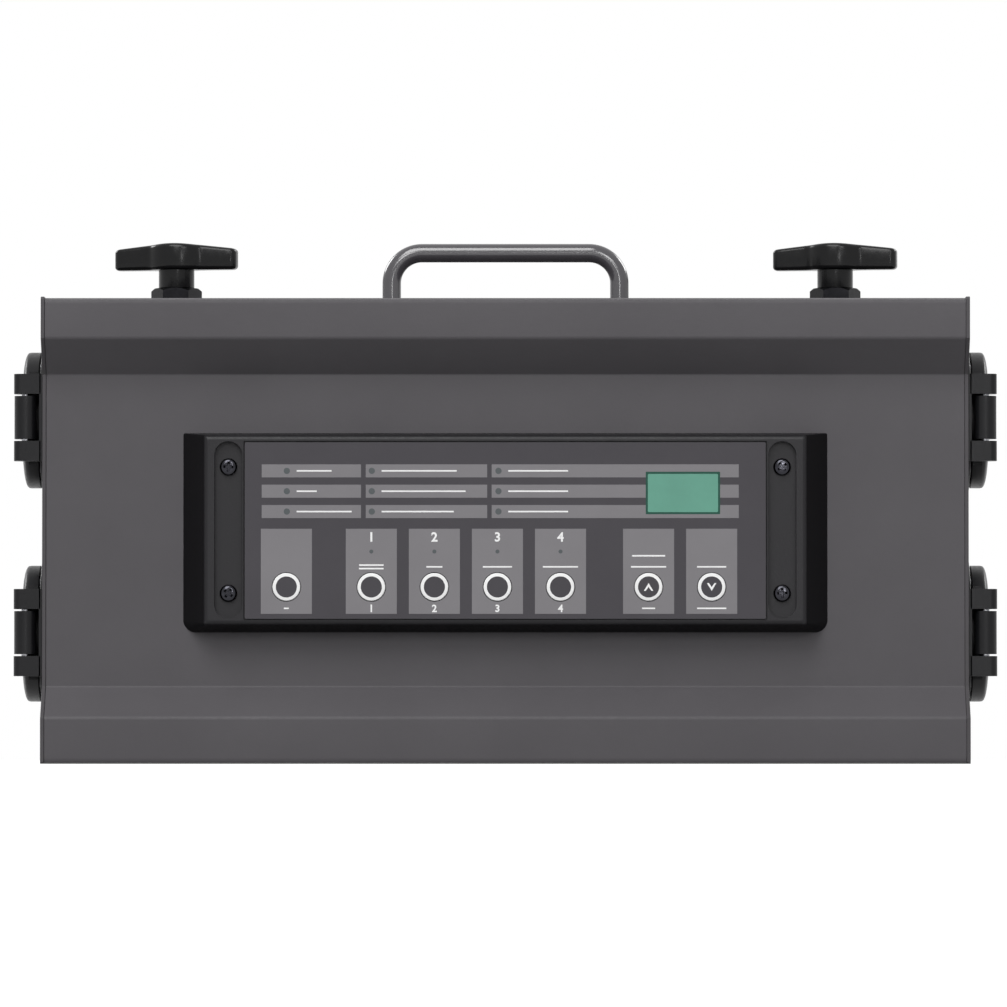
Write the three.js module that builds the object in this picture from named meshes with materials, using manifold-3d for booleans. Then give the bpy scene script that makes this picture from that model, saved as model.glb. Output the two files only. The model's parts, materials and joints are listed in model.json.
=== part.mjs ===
// Four-channel dimmer pack that hangs on a T-bar or tube, in millimetres.
// +X is to the right, +Z is up and the front faces -Y. The origin is under the middle of the case.
import * as THREE from "three";
import { mergeVertices } from "three/addons/utils/BufferGeometryUtils.js";
import { ConvexGeometry } from "three/addons/geometries/ConvexGeometry.js";
import Module from "manifold-3d";

const wasm = await Module();
wasm.setup();

// Driving dimensions of the case
const packWidth = 370;
const packHeight = 186;
const packDepth = 120;

// Clearances
const seatGap = 0.1; // between flat faces that are fastened together
const fitGap = 0.3; // round a piece that passes through or sits in another
const overrun = 2; // how far a cutting shape runs past the piece that it cuts
const weld = 0.0001; // points closer than this are one

// Smoothness, in steps for a full turn
const wideSteps = 24;
const midSteps = 16;
const smallSteps = 8;
const tinySteps = 6;
const cornerSteps = 1; // for half of a rounded corner

// Folded steel housing
const sheet = 1.2;
const foldRadius = 1.2;
const plate = 1.5;
const plateLap = 0.5; // how far the end plates stand proud of the folded sheets
const plateCorner = 1;
const recessDepth = 13;
const topBand = 16.6;
const topSlant = 13.9;
const bottomBand = 18.4;
const bottomSlant = 12.3;
const rearLip = 6;
const baseFlange = 14;
const shellWindowInset = 6; // how far the window in the shell lies inside the console's hollow
const shellWindowDrop = 7.6; // the same along the height
const tabLength = 12;
const tabReach = 10;
const tabSpacing = 44;

// Channel for the bar, open to the rear and at both ends
const channelDepth = 42;
const channelDrop = 58; // from the case's top to the channel's floor
const channelCorner = 3;

// Keypad overlay, which sets the console's size
const overlayWidth = 207.3;
const overlayHeight = 70.3;
const overlayThickness = 1;
const overlayRow = -0.25;

// Console moulding
const faceRim = 2.65; // above and below the overlay
const consoleDepth = 13;
const sideFlare = 8.6;
const topFlare = 1.2;
const bottomFlare = 2.8;
const baseCorner = 5;
const faceEdge = 0.8;
const faceWall = 1.8;
const pocketDepth = 1.2;
const cavityInset = 2.65; // how far the hollow for the board lies inside the overlay's ends
const cavityRib = 2.45; // between that hollow and the one behind a screw slot
const cavityFlare = 0.95; // how far the hollow behind a slot runs past the face's edge
const slotWidth = 11.2;
const slotDepth = 3.2;
const slotMargin = 0.95; // from the overlay to a slot
const slotEndMargin = 2.5;
const faceMargin = 4.2; // from a slot to the face's edge
const screwSpacing = 50.3;
const screwHole = 4.3;
const screwPost = 9;

// Places on the overlay, as shares of its width
const functionKeyShare = -0.42;
const firstChannelShare = -0.257;
const keyPitchShare = 0.121;
const upKeyShare = 0.275;
const windowShare = 0.341;

// Rows on the overlay, as shares of its height
const keyRowShare = -0.323;
const lampTopShare = 0.3314;
const lampPitchShare = 0.1124;
const channelLampShare = -0.121;
const windowRowShare = 0.209;

// Keys
const channelCount = 4;
const keyDiameter = 11.1;
const keyThickness = 0.8;
const keyDome = 0.25;
const keyTravel = 0.4;
const keyStem = 5;
const keyStemHole = 7.4;

// Lamps behind the overlay
const lampDiameter = 2.8;
const lampRowCount = 3;
const lampLength = 8.4;

// Display
const windowWidth = 29.1;
const windowHeight = 16.4;
const windowLedge = 1.6;
const moduleWidth = 30;
const moduleHeight = 14;
const moduleDepth = 6.6;

// Control board
const boardSideGap = 3; // to the hollow's ends
const boardRowGap = 2.6; // to the hollow's upper and lower walls
const boardThickness = 1.6;
const boardGap = 1.6; // between the board and the console's back edge
const bossDiameter = 6;
const bossInset = 4;
const switchSize = 6;
const switchHeight = 3.4;
const switchButton = 3.5;
const switchButtonHeight = 0.9;

// Carry handle
const handleRod = 7.5;
const handleSpan = 92;
const handleRise = 24.5;
const handleBend = 12.2;
const handlePlace = -10;
const handleStud = 5;
const handleStudLength = 6;
const handleBendSteps = 5;
const handleSteps = 12;

// Clamps: knob, spindle, hex nut and jaw
const clampInset = 50; // from the case's ends
const clampTravel = 18;
const knobHalfLength = 25.6;
const knobTipHalf = 3.7;
const knobTipRound = 2;
const knobRootHalf = 4.4;
const knobHubHalf = 8.8;
const knobHubShoulder = 5.2;
const knobHubReach = 10.5;
const knobHubRound = 5;
const knobHubHeight = 10.9;
const knobTipHeight = 8.4;
const knobCrownHalf = 6.5;
const knobCrownRound = 3;
const knobEdgeRound = 1.4;
const knobStemRadius = 7.15;
const knobStemLength = 5.7;
const knobBoreDepth = 10;
const knobTurn = -12; // degrees that the wings stand turned at rest
const knobCornerSteps = 2;
const spindleRadius = 5.9;
const spindleTipRadius = 4.1;
const spindleTipLength = 4.2;
const spindleEdge = 0.8;
const nutAcrossFlats = 18;
const nutHeight = 10.5;
const nutEdge = 1.6;
const jawWidth = 34;
const jawHeight = 7;
const jawGroove = 3;
const jawGrooveHalf = 13;
const jawBossRadius = 9;
const jawBossHeight = 4;
const jawHeadroom = 0.8;
const jawSideGap = 1;
const jawEdge = 1;

// Side sockets with sprung lids, measured outwards from the end plate's face
const socketShares = [0.2817, 0.7441]; // lower and upper middle, of the case's height
const socketEdge = 0.8; // from the hinge ears to the end plate's front edge
const flangeRadius = 30.5;
const flangeThickness = 1.2;
const cupRadius = 19.8;
const cupDepth = 17.5;
const rimRadius = 23.3;
const rimOut = 5.6;
const socketBodyRadius = 21.6;
const socketBodyDepth = 30;
const contactSpacing = 19;
const contactRadius = 2.7;
const contactDepth = 12;
const guideWidth = 5;
const guideRise = 1.6;
const hingeOut = 7;
const hingeBack = 28.5;
const earHalf = 4.2;
const earOut = 11.5;
const earRound = 2.8;
const earInner = 9.4;
const earOuter = 17.4;
const hingePinRadius = 1.5;
const lidRadius = 27.4;
const lidWall = 2;
const lidLow = 2.3;
const lidShoulder = 6.2;
const lidCeiling = 7.1;
const lidCrown = 9.3;
const lidRelief = 6;
const lidReliefEdge = 20;
const barrelRadius = 4.4;
const barrelGap = 0.8;
const lidEarGap = 1.3;
const lidWebOut = 8.9;
const lidTabWidth = 14;
const lidTabReach = 2.6;
const lidTabOut = 5.4;
const lidCrownShares = [[1, 0], [0.95, 0.6], [0.8, 0.86], [0, 1]];

// Rear connectors, measured outwards from the rear wall
const connectorRow = 60;
const dmxInset = 89; // from the case's end to the middle between the two
const dmxSpacing = 40;
const dmxFlangeWidth = 26;
const dmxFlangeHeight = 31;
const dmxFlange = 2;
const dmxCorner = 2.5;
const dmxBodyRadius = 11.7;
const dmxBodyDepth = 20;
const dmxRingRadius = 11;
const dmxRingOut = 3.1;
const dmxCupRadius = 9.3;
const dmxCupDepth = 12;
const dmxPinRadius = 1.2;
const dmxPinLength = 10;
const dmxPinCircle = 4.9;
const dmxPinAngles = [-50, 90, 230];
const dmxGrooveWidth = 1.1;
const dmxGrooveDepth = 9;
const latchWidth = 6;
const latchHeight = 3.4;

// Mains gland
const glandInset = 57; // from the case's end
const glandHex = 24;
const glandHexHeight = 6;
const glandDome = 10.5;
const glandOut = 19;
const glandRound = 4;
const glandRoundShare = 0.3; // of the rounding, where the dome's bend has its middle point
const glandBore = 4.8;
const glandThread = 8;
const glandInside = 12;
const locknutHex = 22;
const locknutHeight = 4;

// Fuse holders with bayonet caps
const fuseDrop = 30; // below the channel's floor
const fusePitch = 30;
const fuseBezel = 8;
const fuseBezelHeight = 2;
const fuseTube = 6.3;
const fuseBore = 4.6;
const fuseBoreDepth = 16;
const fuseDepth = 28;
const fuseCapRadius = 5.9;
const fuseCapHeight = 6;
const fuseCapStem = 4.2;
const fuseCapStemLength = 14;
const fuseSlotWidth = 1.6;
const fuseSlotDepth = 2;

// Pieces inside
const mainBoardMargin = 40; // from the case's ends
const mainBoardDepth = 80;
const standoffHeight = 7;
const standoffRadius = 3.5;
const standoffInset = 6;
const sinkInset = 45; // from the power board's ends
const sinkHeight = 42;
const sinkBase = 4;
const sinkFinReach = 14;
const sinkFin = 2;
const sinkFinCount = 6;
const sinkPlace = -9;
const triacPitchShare = 0.24; // of the heat sink's length
const triacWidth = 16;
const triacHeight = 20;
const triacThickness = 4.6;
const triacRise = 8;
const triacLeg = 1;
const triacLegPitch = 5;
const chokePitchShare = 0.22; // of the heat sink's length
const chokePlace = 20;
const chokeOuter = 17;
const chokeInner = 8;
const chokeHalf = 6;
const coreWidth = 38;
const coreHeight = 32;
const coreDepth = 16;
const coilWidth = 24;
const coilHeight = 20;
const coilDepth = 28;
const terminalLength = 48;
const terminalHeight = 17;
const terminalDepth = 18;
const terminalStep = 6;
const terminalHole = 2.5;
const terminalCount = 6;
const innerRow = 14; // transformer and terminal block, along the depth
const innerInset = 27; // from the power board's ends to their middles

// Places worked out from the sizes above
const frontY = -packDepth / 2 + plateLap;
const rearY = packDepth / 2 - plateLap;
const recessY = -packDepth / 2 + recessDepth;
const topZ = packHeight - plateLap;
const middleZ = packHeight / 2;
const channelBackY = rearY - channelDepth;
const channelFloor = packHeight - channelDrop;
const fuseRow = channelFloor - fuseDrop;
const ceilingZ = topZ - 2 * sheet - seatGap;
const sheetsWidth = packWidth - 2 * (plate + seatGap);
const clampY = rearY - channelDepth / 2;
const clampSpacing = packWidth - 2 * clampInset;
const glandPlace = packWidth / 2 - glandInset;
const dmxPlace = dmxInset - packWidth / 2;
const socketY = recessY - plateLap + socketEdge + earHalf + hingeBack;
const mainBoardLow = sheet + standoffHeight + seatGap;
const mainBoardTop = mainBoardLow + boardThickness;
const mainBoardWidth = packWidth - 2 * mainBoardMargin;
const sinkLength = mainBoardWidth - 2 * sinkInset;
const innerPlace = mainBoardWidth / 2 - innerInset;

// Sizes of the console worked out from the overlay
const slotSpacing = overlayWidth + 2 * slotMargin + slotWidth;
const faceWidth = slotSpacing + slotWidth + 2 * faceMargin;
const faceHeight = overlayHeight + 2 * faceRim;
const slotLength = faceHeight - 2 * slotEndMargin;
const cavityWidth = overlayWidth - 2 * cavityInset;
const cavityHeight = faceHeight - 2 * faceMargin;
const sideCavityInner = cavityWidth / 2 + cavityRib;
const sideCavityOuter = faceWidth / 2 + cavityFlare;
const shellWindowWidth = cavityWidth - 2 * shellWindowInset;
const shellWindowHeight = cavityHeight - 2 * shellWindowDrop;
const boardWidth = cavityWidth - 2 * boardSideGap;
const boardHeight = cavityHeight - 2 * boardRowGap;

// Places along the overlay
const keyPitch = keyPitchShare * overlayWidth;
const functionKeyPlace = functionKeyShare * overlayWidth;
const firstChannelPlace = firstChannelShare * overlayWidth;
const upKeyPlace = upKeyShare * overlayWidth;
const windowPlace = windowShare * overlayWidth;
const keyRow = keyRowShare * overlayHeight;
const lampTopRow = lampTopShare * overlayHeight;
const lampRowPitch = lampPitchShare * overlayHeight;
const channelLampRow = channelLampShare * overlayHeight;
const windowRow = windowRowShare * overlayHeight;

// Levels of the console, measured from the recessed face, negative towards the front
const pocketY = -consoleDepth + pocketDepth;
const wallInsideY = pocketY + faceWall;
const boardY = -boardGap;
const boardFaceY = boardY - boardThickness;

// Materials
const paint = new THREE.MeshStandardMaterial({ color: "#59575a", roughness: 0.62, metalness: 0.2 });
const platePaint = new THREE.MeshStandardMaterial({ color: "#4b494c", roughness: 0.62, metalness: 0.2 });
const moulding = new THREE.MeshStandardMaterial({ color: "#3e3c40", roughness: 0.55, metalness: 0 });
const blackPlastic = new THREE.MeshStandardMaterial({ color: "#242426", roughness: 0.45, metalness: 0 });
const labelFilm = new THREE.MeshStandardMaterial({ color: "#4c4a4d", roughness: 0.5, metalness: 0 });
const keyPlastic = new THREE.MeshStandardMaterial({ color: "#d8d8d8", roughness: 0.5, metalness: 0 });
const greenLens = new THREE.MeshStandardMaterial({ color: "#5fa58a", roughness: 0.25, metalness: 0 });
const satinSteel = new THREE.MeshStandardMaterial({ color: "#7c7a7e", roughness: 0.35, metalness: 0.8 });
const zincSteel = new THREE.MeshStandardMaterial({ color: "#a4a4a6", roughness: 0.35, metalness: 0.9 });
const blackSteel = new THREE.MeshStandardMaterial({ color: "#2b2b2d", roughness: 0.4, metalness: 0.5 });
const aluminium = new THREE.MeshStandardMaterial({ color: "#b4b6b8", roughness: 0.4, metalness: 0.9 });
const boardGreen = new THREE.MeshStandardMaterial({ color: "#2f6b45", roughness: 0.5, metalness: 0 });
const copper = new THREE.MeshStandardMaterial({ color: "#a4603a", roughness: 0.4, metalness: 0.6 });

// A closed mesh as a solid that can be joined and cut.
function solidOf(geometry) {
  const bare = geometry.index ? geometry.toNonIndexed() : geometry.clone();
  bare.deleteAttribute("normal");
  bare.deleteAttribute("uv");
  const merged = mergeVertices(bare, weld);
  const triVerts = new Uint32Array(merged.index.array);
  const mesh = new wasm.Mesh({ numProp: 3, vertProperties: merged.attributes.position.array, triVerts });
  return new wasm.Manifold(mesh);
}

function geometryOf(solid) {
  const mesh = solid.getMesh();
  const geometry = new THREE.BufferGeometry();
  geometry.setAttribute("position", new THREE.BufferAttribute(mesh.vertProperties, 3));
  geometry.setIndex(new THREE.BufferAttribute(mesh.triVerts, 1));
  const flat = geometry.toNonIndexed();
  flat.computeVertexNormals();
  return flat;
}

// The first solid with the others joined on.
function join(first, ...others) {
  return others.reduce((whole, other) => whole.add(other), first);
}

// The first solid with the others cut away.
function cut(first, ...others) {
  return others.reduce((rest, other) => rest.subtract(other), first);
}

function addPiece(group, name, solid, material, x = 0, y = 0, z = 0) {
  const piece = new THREE.Mesh(geometryOf(solid), material);
  piece.name = name;
  piece.position.set(x, y, z);
  group.add(piece);
}

// A closed outline through corners [x, y, radius], each one rounded to its radius.
function roundedOutline(corners) {
  const outline = new THREE.Shape();
  const count = corners.length;
  corners.forEach(([x, y, radius = 0], i) => {
    const corner = new THREE.Vector2(x, y);
    const before = new THREE.Vector2(...corners[(i + count - 1) % count]).sub(corner).normalize();
    const after = new THREE.Vector2(...corners[(i + 1) % count]).sub(corner).normalize();
    const half = Math.acos(THREE.MathUtils.clamp(before.dot(after), -1, 1)) / 2;
    const reach = radius > 0 ? radius / Math.tan(half) : 0;
    const start = corner.clone().addScaledVector(before, reach);
    if (i === 0) outline.moveTo(start.x, start.y);
    if (i > 0) outline.lineTo(start.x, start.y);
    if (radius > 0) {
      const bisector = before.clone().add(after).normalize();
      const centre = corner.clone().addScaledVector(bisector, radius / Math.sin(half));
      const from = start.sub(centre).angle();
      const to = corner.clone().addScaledVector(after, reach).sub(centre).angle();
      outline.absarc(centre.x, centre.y, radius, from, to, before.cross(after) > 0);
    }
  });
  outline.closePath();
  return outline;
}

function rectangle(width, height, radius = 0, x = 0, y = 0) {
  const half = width / 2;
  const rise = height / 2;
  return roundedOutline([
    [x - half, y - rise, radius],
    [x + half, y - rise, radius],
    [x + half, y + rise, radius],
    [x - half, y + rise, radius],
  ]);
}

function disc(radius, x = 0, y = 0) {
  const outline = new THREE.Shape();
  outline.absarc(x, y, radius, 0, 2 * Math.PI, false);
  return outline;
}

function extruded(outline, length, steps) {
  return new THREE.ExtrudeGeometry(outline, { depth: length, bevelEnabled: false, curveSegments: steps });
}

// An outline in depth and height, run along the width and centred on x = 0.
function alongWidth(outline, length, steps = cornerSteps) {
  const depthways = new THREE.Vector3(0, 1, 0);
  const upwards = new THREE.Vector3(0, 0, 1);
  const sideways = new THREE.Vector3(1, 0, 0);
  const turn = new THREE.Matrix4().makeBasis(depthways, upwards, sideways);
  return solidOf(extruded(outline, length, steps).translate(0, 0, -length / 2).applyMatrix4(turn));
}

// An outline in width and height, run from the depth back towards the front.
function towardsFront(outline, length, back = 0, steps = cornerSteps) {
  return solidOf(extruded(outline, length, steps).rotateX(Math.PI / 2).translate(0, back, 0));
}

// A round hole or post that runs towards the front.
function roundTowardsFront(radius, length, back, x, z, steps = smallSteps) {
  return towardsFront(disc(radius, x, z), length, back, steps / 2);
}

// An outline in width and depth, run upwards from the height low.
function upwards(outline, height, low = 0, steps = cornerSteps) {
  return solidOf(extruded(outline, height, steps).translate(0, 0, low));
}

function block(width, depth, height, x = 0, y = 0, z = 0) {
  return solidOf(new THREE.BoxGeometry(width, depth, height).translate(x, y, z));
}

// A block given by the two ends of its span along each axis.
function spanBlock([x0, x1], [y0, y1], [z0, z1]) {
  return block(x1 - x0, y1 - y0, z1 - z0, (x0 + x1) / 2, (y0 + y1) / 2, (z0 + z1) / 2);
}

// A profile of [radius, place along the axis] points, turned round one of the three axes.
function turned(profile, steps, axis = "z") {
  const points = profile.map(([radius, along]) => new THREE.Vector2(radius, along));
  const shape = new THREE.LatheGeometry(points, steps);
  if (axis === "z") shape.rotateX(Math.PI / 2);
  if (axis === "x") shape.rotateZ(-Math.PI / 2);
  return solidOf(shape);
}

function rod(radius, low, high, steps = smallSteps, axis = "z") {
  return turned([[0, low], [radius, low], [radius, high], [0, high]], steps, axis);
}

function tube(outer, inner, low, high, steps, axis = "z") {
  return turned([[inner, low], [outer, low], [outer, high], [inner, high], [inner, low]], steps, axis);
}

function hexPrism(acrossFlats, low, high, axis = "z") {
  return rod(acrossFlats / Math.sqrt(3), low, high, 6, axis);
}

// A folded sheet's section: path is its showing side as [depth, height] points, and side is 1 where
// the metal lies to the right of the path's direction, -1 where it lies to the left.
function foldedSheet(path, side) {
  const points = path.map(([y, z]) => new THREE.Vector2(y, z));
  const ways = points.slice(1).map((point, i) => point.clone().sub(points[i]).normalize());
  const showing = [];
  const hidden = [];
  points.forEach((point, i) => {
    const isEnd = i === 0 || i === points.length - 1;
    const arriving = ways[Math.max(i - 1, 0)];
    const leaving = ways[Math.min(i, ways.length - 1)];
    const inward = new THREE.Vector2(arriving.y + leaving.y, -arriving.x - leaving.x).normalize();
    const across = new THREE.Vector2(leaving.y, -leaving.x);
    const back = point.clone().addScaledVector(inward, (side * sheet) / inward.dot(across));
    const near = isEnd ? 0 : foldRadius;
    const far = isEnd ? 0 : foldRadius + sheet;
    const wrapsMetal = arriving.cross(leaving) * side < 0;
    showing.push([point.x, point.y, wrapsMetal ? far : near]);
    hidden.unshift([back.x, back.y, wrapsMetal ? near : far]);
  });
  return roundedOutline([...showing, ...hidden]);
}

// The case's front profile from bottom to top, standing proud of the folded sheet by proud.
function frontProfile(proud) {
  return [
    [frontY - proud, 0],
    [frontY - proud, bottomBand],
    [recessY - proud, bottomBand + bottomSlant],
    [recessY - proud, packHeight - topBand - topSlant],
    [frontY - proud, packHeight - topBand],
    [frontY - proud, topZ + proud],
  ];
}

// The four corners of a rectangle, as [x, y] places.
function cornerPlaces(width, height) {
  return [-1, 1].flatMap((side) => [-1, 1].map((end) => [(side * width) / 2, (end * height) / 2]));
}

function spindleHoles(low) {
  return [-1, 1].map((side) => {
    const hole = rod(spindleRadius + fitGap, low - overrun, low + sheet + overrun, midSteps);
    return hole.translate([(side * clampSpacing) / 2, clampY, 0]);
  });
}

function makeStandoffs() {
  const spanX = mainBoardWidth - 2 * standoffInset;
  const spanY = mainBoardDepth - 2 * standoffInset;
  return cornerPlaces(spanX, spanY).map(([x, y]) => {
    const standoff = rod(standoffRadius, sheet / 2, sheet + standoffHeight);
    return standoff.translate([x, y, 0]);
  });
}

function makeFrontShell() {
  const path = [[rearY, 0], ...frontProfile(0), [rearY, topZ], [rearY, topZ - rearLip]];
  const shell = alongWidth(foldedSheet(path, 1), sheetsWidth);
  const depth = sheet + 2 * overrun;
  const back = recessY + sheet + overrun;
  const windowOutline = rectangle(shellWindowWidth, shellWindowHeight, foldRadius, 0, middleZ);
  const consoleHoles = cornerPlaces(slotSpacing, screwSpacing).map(([x, z]) =>
    roundTowardsFront(screwHole / 2, depth, back, x, middleZ + z),
  );
  const handleHoles = [-1, 1].map((side) => {
    const hole = rod(handleStud / 2 + fitGap, topZ - sheet - overrun, topZ + overrun);
    return hole.translate([(side * handleSpan) / 2, handlePlace, 0]);
  });
  const holes = [...consoleHoles, ...handleHoles, ...spindleHoles(topZ - sheet)];
  return join(cut(shell, towardsFront(windowOutline, depth, back), ...holes), ...makeStandoffs());
}

function fusePlace(i) {
  return (i - (channelCount - 1) / 2) * fusePitch;
}

// Radius and place of each hole in the rear wall, as [radius, x, z].
function rearHoles() {
  const dmxHoles = [-1, 1].map((side) => [dmxBodyRadius, dmxPlace + (side * dmxSpacing) / 2, connectorRow]);
  const holes = [...dmxHoles, [glandThread, glandPlace, connectorRow]];
  for (let i = 0; i < channelCount; i += 1) holes.push([fuseTube, fusePlace(i), fuseRow]);
  return holes;
}

// The rear wall with its foot flange, which lies on the shell's bottom, and the channel for the bar.
function makeRearChassis() {
  const flangeZ = sheet + seatGap;
  const path = [
    [rearY - baseFlange, flangeZ],
    [rearY, flangeZ],
    [rearY, channelFloor],
    [channelBackY, channelFloor],
    [channelBackY, ceilingZ],
    [rearY - sheet - foldRadius, ceilingZ],
  ];
  const chassis = alongWidth(foldedSheet(path, -1), sheetsWidth);
  const depth = sheet + 2 * overrun;
  const holes = rearHoles().map(([radius, x, z]) =>
    roundTowardsFront(radius + fitGap, depth, rearY + overrun, x, z, midSteps),
  );
  return cut(chassis, ...holes, ...spindleHoles(ceilingZ));
}

// The flat steel end, its outer face at x = 0, notched for the bar and with round socket holes.
function makeFlatEnd() {
  const notchY = channelBackY - plateLap;
  const notchLow = channelFloor - plateLap;
  const notchHigh = topZ - rearLip;
  const edgeY = rearY + plateLap;
  const front = frontProfile(plateLap).map(([y, z]) => [y, z, z % packHeight === 0 ? plateCorner : 0]);
  const outline = roundedOutline([
    [edgeY, 0, plateCorner],
    [edgeY, notchLow, plateCorner],
    [notchY, notchLow, channelCorner],
    [notchY, notchHigh, channelCorner],
    [edgeY, notchHigh, plateCorner],
    [edgeY, packHeight, plateCorner],
    ...front.reverse(),
  ]);
  const holes = socketShares.map((share) => {
    const hole = rod(socketBodyRadius + fitGap, -plate - overrun, overrun, wideSteps, "x");
    return hole.translate([0, socketY, share * packHeight]);
  });
  return cut(alongWidth(outline, plate).translate([-plate / 2, 0, 0]), ...holes);
}

function makeEndPlate() {
  const x = [-plate - tabReach, -plate + seatGap];
  const lowLevel = [sheet + seatGap, 2 * sheet + seatGap];
  const highLevel = [topZ - 2 * sheet - seatGap, topZ - sheet - seatGap];
  const rearLevel = [rearY - 2 * sheet - seatGap, rearY - sheet - seatGap];
  const spanAt = (middle) => [middle - tabLength / 2, middle + tabLength / 2];
  return join(
    makeFlatEnd(),
    spanBlock(x, spanAt(-tabSpacing / 2), lowLevel),
    spanBlock(x, spanAt(tabSpacing / 2), lowLevel),
    spanBlock(x, spanAt(-tabSpacing / 2), highLevel),
    spanBlock(x, rearLevel, spanAt(middleZ)),
  );
}

function addHousing(pack) {
  addPiece(pack, "front_shell", makeFrontShell(), paint);
  addPiece(pack, "rear_chassis", makeRearChassis(), paint);
  for (const [name, side] of [["right", 1], ["left", -1]]) {
    const end = new THREE.Group();
    end.position.x = (side * packWidth) / 2;
    end.scale.x = side;
    addPiece(end, `end_plate_${name}`, makeEndPlate(), platePaint);
    pack.add(end);
  }
}

// Name and place along the width of each key.
function keyPlaces() {
  const channels = [];
  for (let i = 0; i < channelCount; i += 1) {
    channels.push([`key_channel_${i + 1}`, firstChannelPlace + i * keyPitch]);
  }
  return [
    ["key_function", functionKeyPlace],
    ...channels,
    ["key_up", upKeyPlace],
    ["key_down", upKeyPlace + keyPitch],
  ];
}

const lampColumns = [functionKeyPlace, firstChannelPlace, firstChannelPlace + 2 * keyPitch];

function channelLampPlaces() {
  const places = [];
  for (let i = 0; i < channelCount; i += 1) places.push([firstChannelPlace + i * keyPitch, channelLampRow]);
  return places;
}

// Place along the width and height of each lamp: three columns at the top and one lamp per channel.
function lampPlaces() {
  const places = channelLampPlaces();
  for (const x of lampColumns) {
    for (let row = 0; row < lampRowCount; row += 1) places.push([x, lampTopRow - row * lampRowPitch]);
  }
  return places;
}

function consoleOutline(half, top, bottom, lowerRound) {
  return roundedOutline([
    [-half, -bottom, lowerRound],
    [half, -bottom, lowerRound],
    [half, top, faceEdge],
    [-half, top, faceEdge],
  ]);
}

// The console's outer form: a hull over its back edge, its front edge and the face inside that edge.
function makeConsoleBody() {
  const half = faceWidth / 2;
  const rise = faceHeight / 2;
  const inner = half - faceEdge;
  const innerRise = rise - faceEdge;
  const rings = [
    [consoleOutline(half + sideFlare, rise + topFlare, rise + bottomFlare, baseCorner), -seatGap],
    [consoleOutline(half, rise, rise, faceEdge), -consoleDepth + faceEdge],
    [consoleOutline(inner, innerRise, innerRise, faceEdge), -consoleDepth],
  ];
  const points = rings.flatMap(([outline, y]) =>
    outline.getPoints(cornerSteps).map((point) => new THREE.Vector3(point.x, y, point.y)),
  );
  return solidOf(new ConvexGeometry(points));
}

// The hollows behind the face: one for the board and one behind each screw slot, round its posts.
function consoleHollows() {
  const middle = rectangle(cavityWidth, cavityHeight, foldRadius);
  const hollows = [towardsFront(middle, overrun - wallInsideY, overrun)];
  const sideDepth = overrun + consoleDepth - slotDepth - faceWall;
  const sideWidth = sideCavityOuter - sideCavityInner;
  for (const side of [-1, 1]) {
    const place = (side * (sideCavityInner + sideCavityOuter)) / 2;
    const outline = rectangle(sideWidth, cavityHeight, foldRadius, place, 0);
    const posts = [-1, 1].map((end) => {
      const z = (end * screwSpacing) / 2;
      return roundTowardsFront(screwPost / 2, sideDepth + overrun, overrun, (side * slotSpacing) / 2, z);
    });
    hollows.push(cut(towardsFront(outline, sideDepth, overrun), ...posts));
  }
  return hollows;
}

// The recesses in the face: the overlay's pocket and the two long screw slots.
function faceRecesses() {
  const pocket = rectangle(overlayWidth + 2 * fitGap, overlayHeight + 2 * fitGap, 0, 0, overlayRow);
  const recesses = [towardsFront(pocket, pocketDepth + overrun, pocketY)];
  for (const side of [-1, 1]) {
    const slot = rectangle(slotWidth, slotLength, slotWidth / 2 - seatGap, (side * slotSpacing) / 2, 0);
    recesses.push(towardsFront(slot, slotDepth + overrun, slotDepth - consoleDepth, tinySteps / 2));
  }
  return recesses;
}

function faceHoles() {
  const depth = consoleDepth + 2 * overrun;
  const screws = cornerPlaces(slotSpacing, screwSpacing).map(([x, z]) =>
    roundTowardsFront(screwHole / 2, depth, overrun, x, z),
  );
  const keys = keyPlaces().map(([, x]) => roundTowardsFront(keyStemHole / 2, depth, overrun, x, keyRow));
  const lampWidth = lampDiameter + 2 * fitGap;
  const columnHeight = lampWidth + (lampRowCount - 1) * lampRowPitch;
  const columnRow = lampTopRow - ((lampRowCount - 1) * lampRowPitch) / 2;
  const lamps = [
    ...channelLampPlaces().map(([x, z]) => rectangle(lampWidth, lampWidth, 0, x, z)),
    ...lampColumns.map((x) => rectangle(lampWidth, columnHeight, 0, x, columnRow)),
  ].map((outline) => towardsFront(outline, depth, overrun));
  const sight = rectangle(
    windowWidth - 2 * windowLedge,
    windowHeight - 2 * windowLedge,
    0,
    windowPlace,
    windowRow,
  );
  return [...screws, ...keys, ...lamps, towardsFront(sight, depth, overrun)];
}

function makeConsoleHousing() {
  const length = boardFaceY - wallInsideY;
  const span = [boardWidth - 2 * bossInset, boardHeight - 2 * bossInset];
  const bosses = cornerPlaces(...span).map(([x, z]) =>
    roundTowardsFront(bossDiameter / 2, length, boardFaceY - seatGap, x, z),
  );
  const moulded = cut(makeConsoleBody(), ...consoleHollows(), ...faceRecesses(), ...faceHoles());
  return join(moulded, ...bosses);
}

function makeKeypadOverlay() {
  const film = rectangle(overlayWidth, overlayHeight, 0, 0, overlayRow);
  const depth = overlayThickness + 2 * overrun;
  const back = pocketY + overrun;
  const keys = keyPlaces().map(([, x]) =>
    roundTowardsFront(keyDiameter / 2 + fitGap, depth, back, x, keyRow, midSteps),
  );
  const windowOutline = rectangle(windowWidth, windowHeight, 0, windowPlace, windowRow);
  const holes = [...keys, towardsFront(windowOutline, depth, back)];
  return cut(towardsFront(film, overlayThickness, pocketY - seatGap), ...holes);
}

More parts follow.
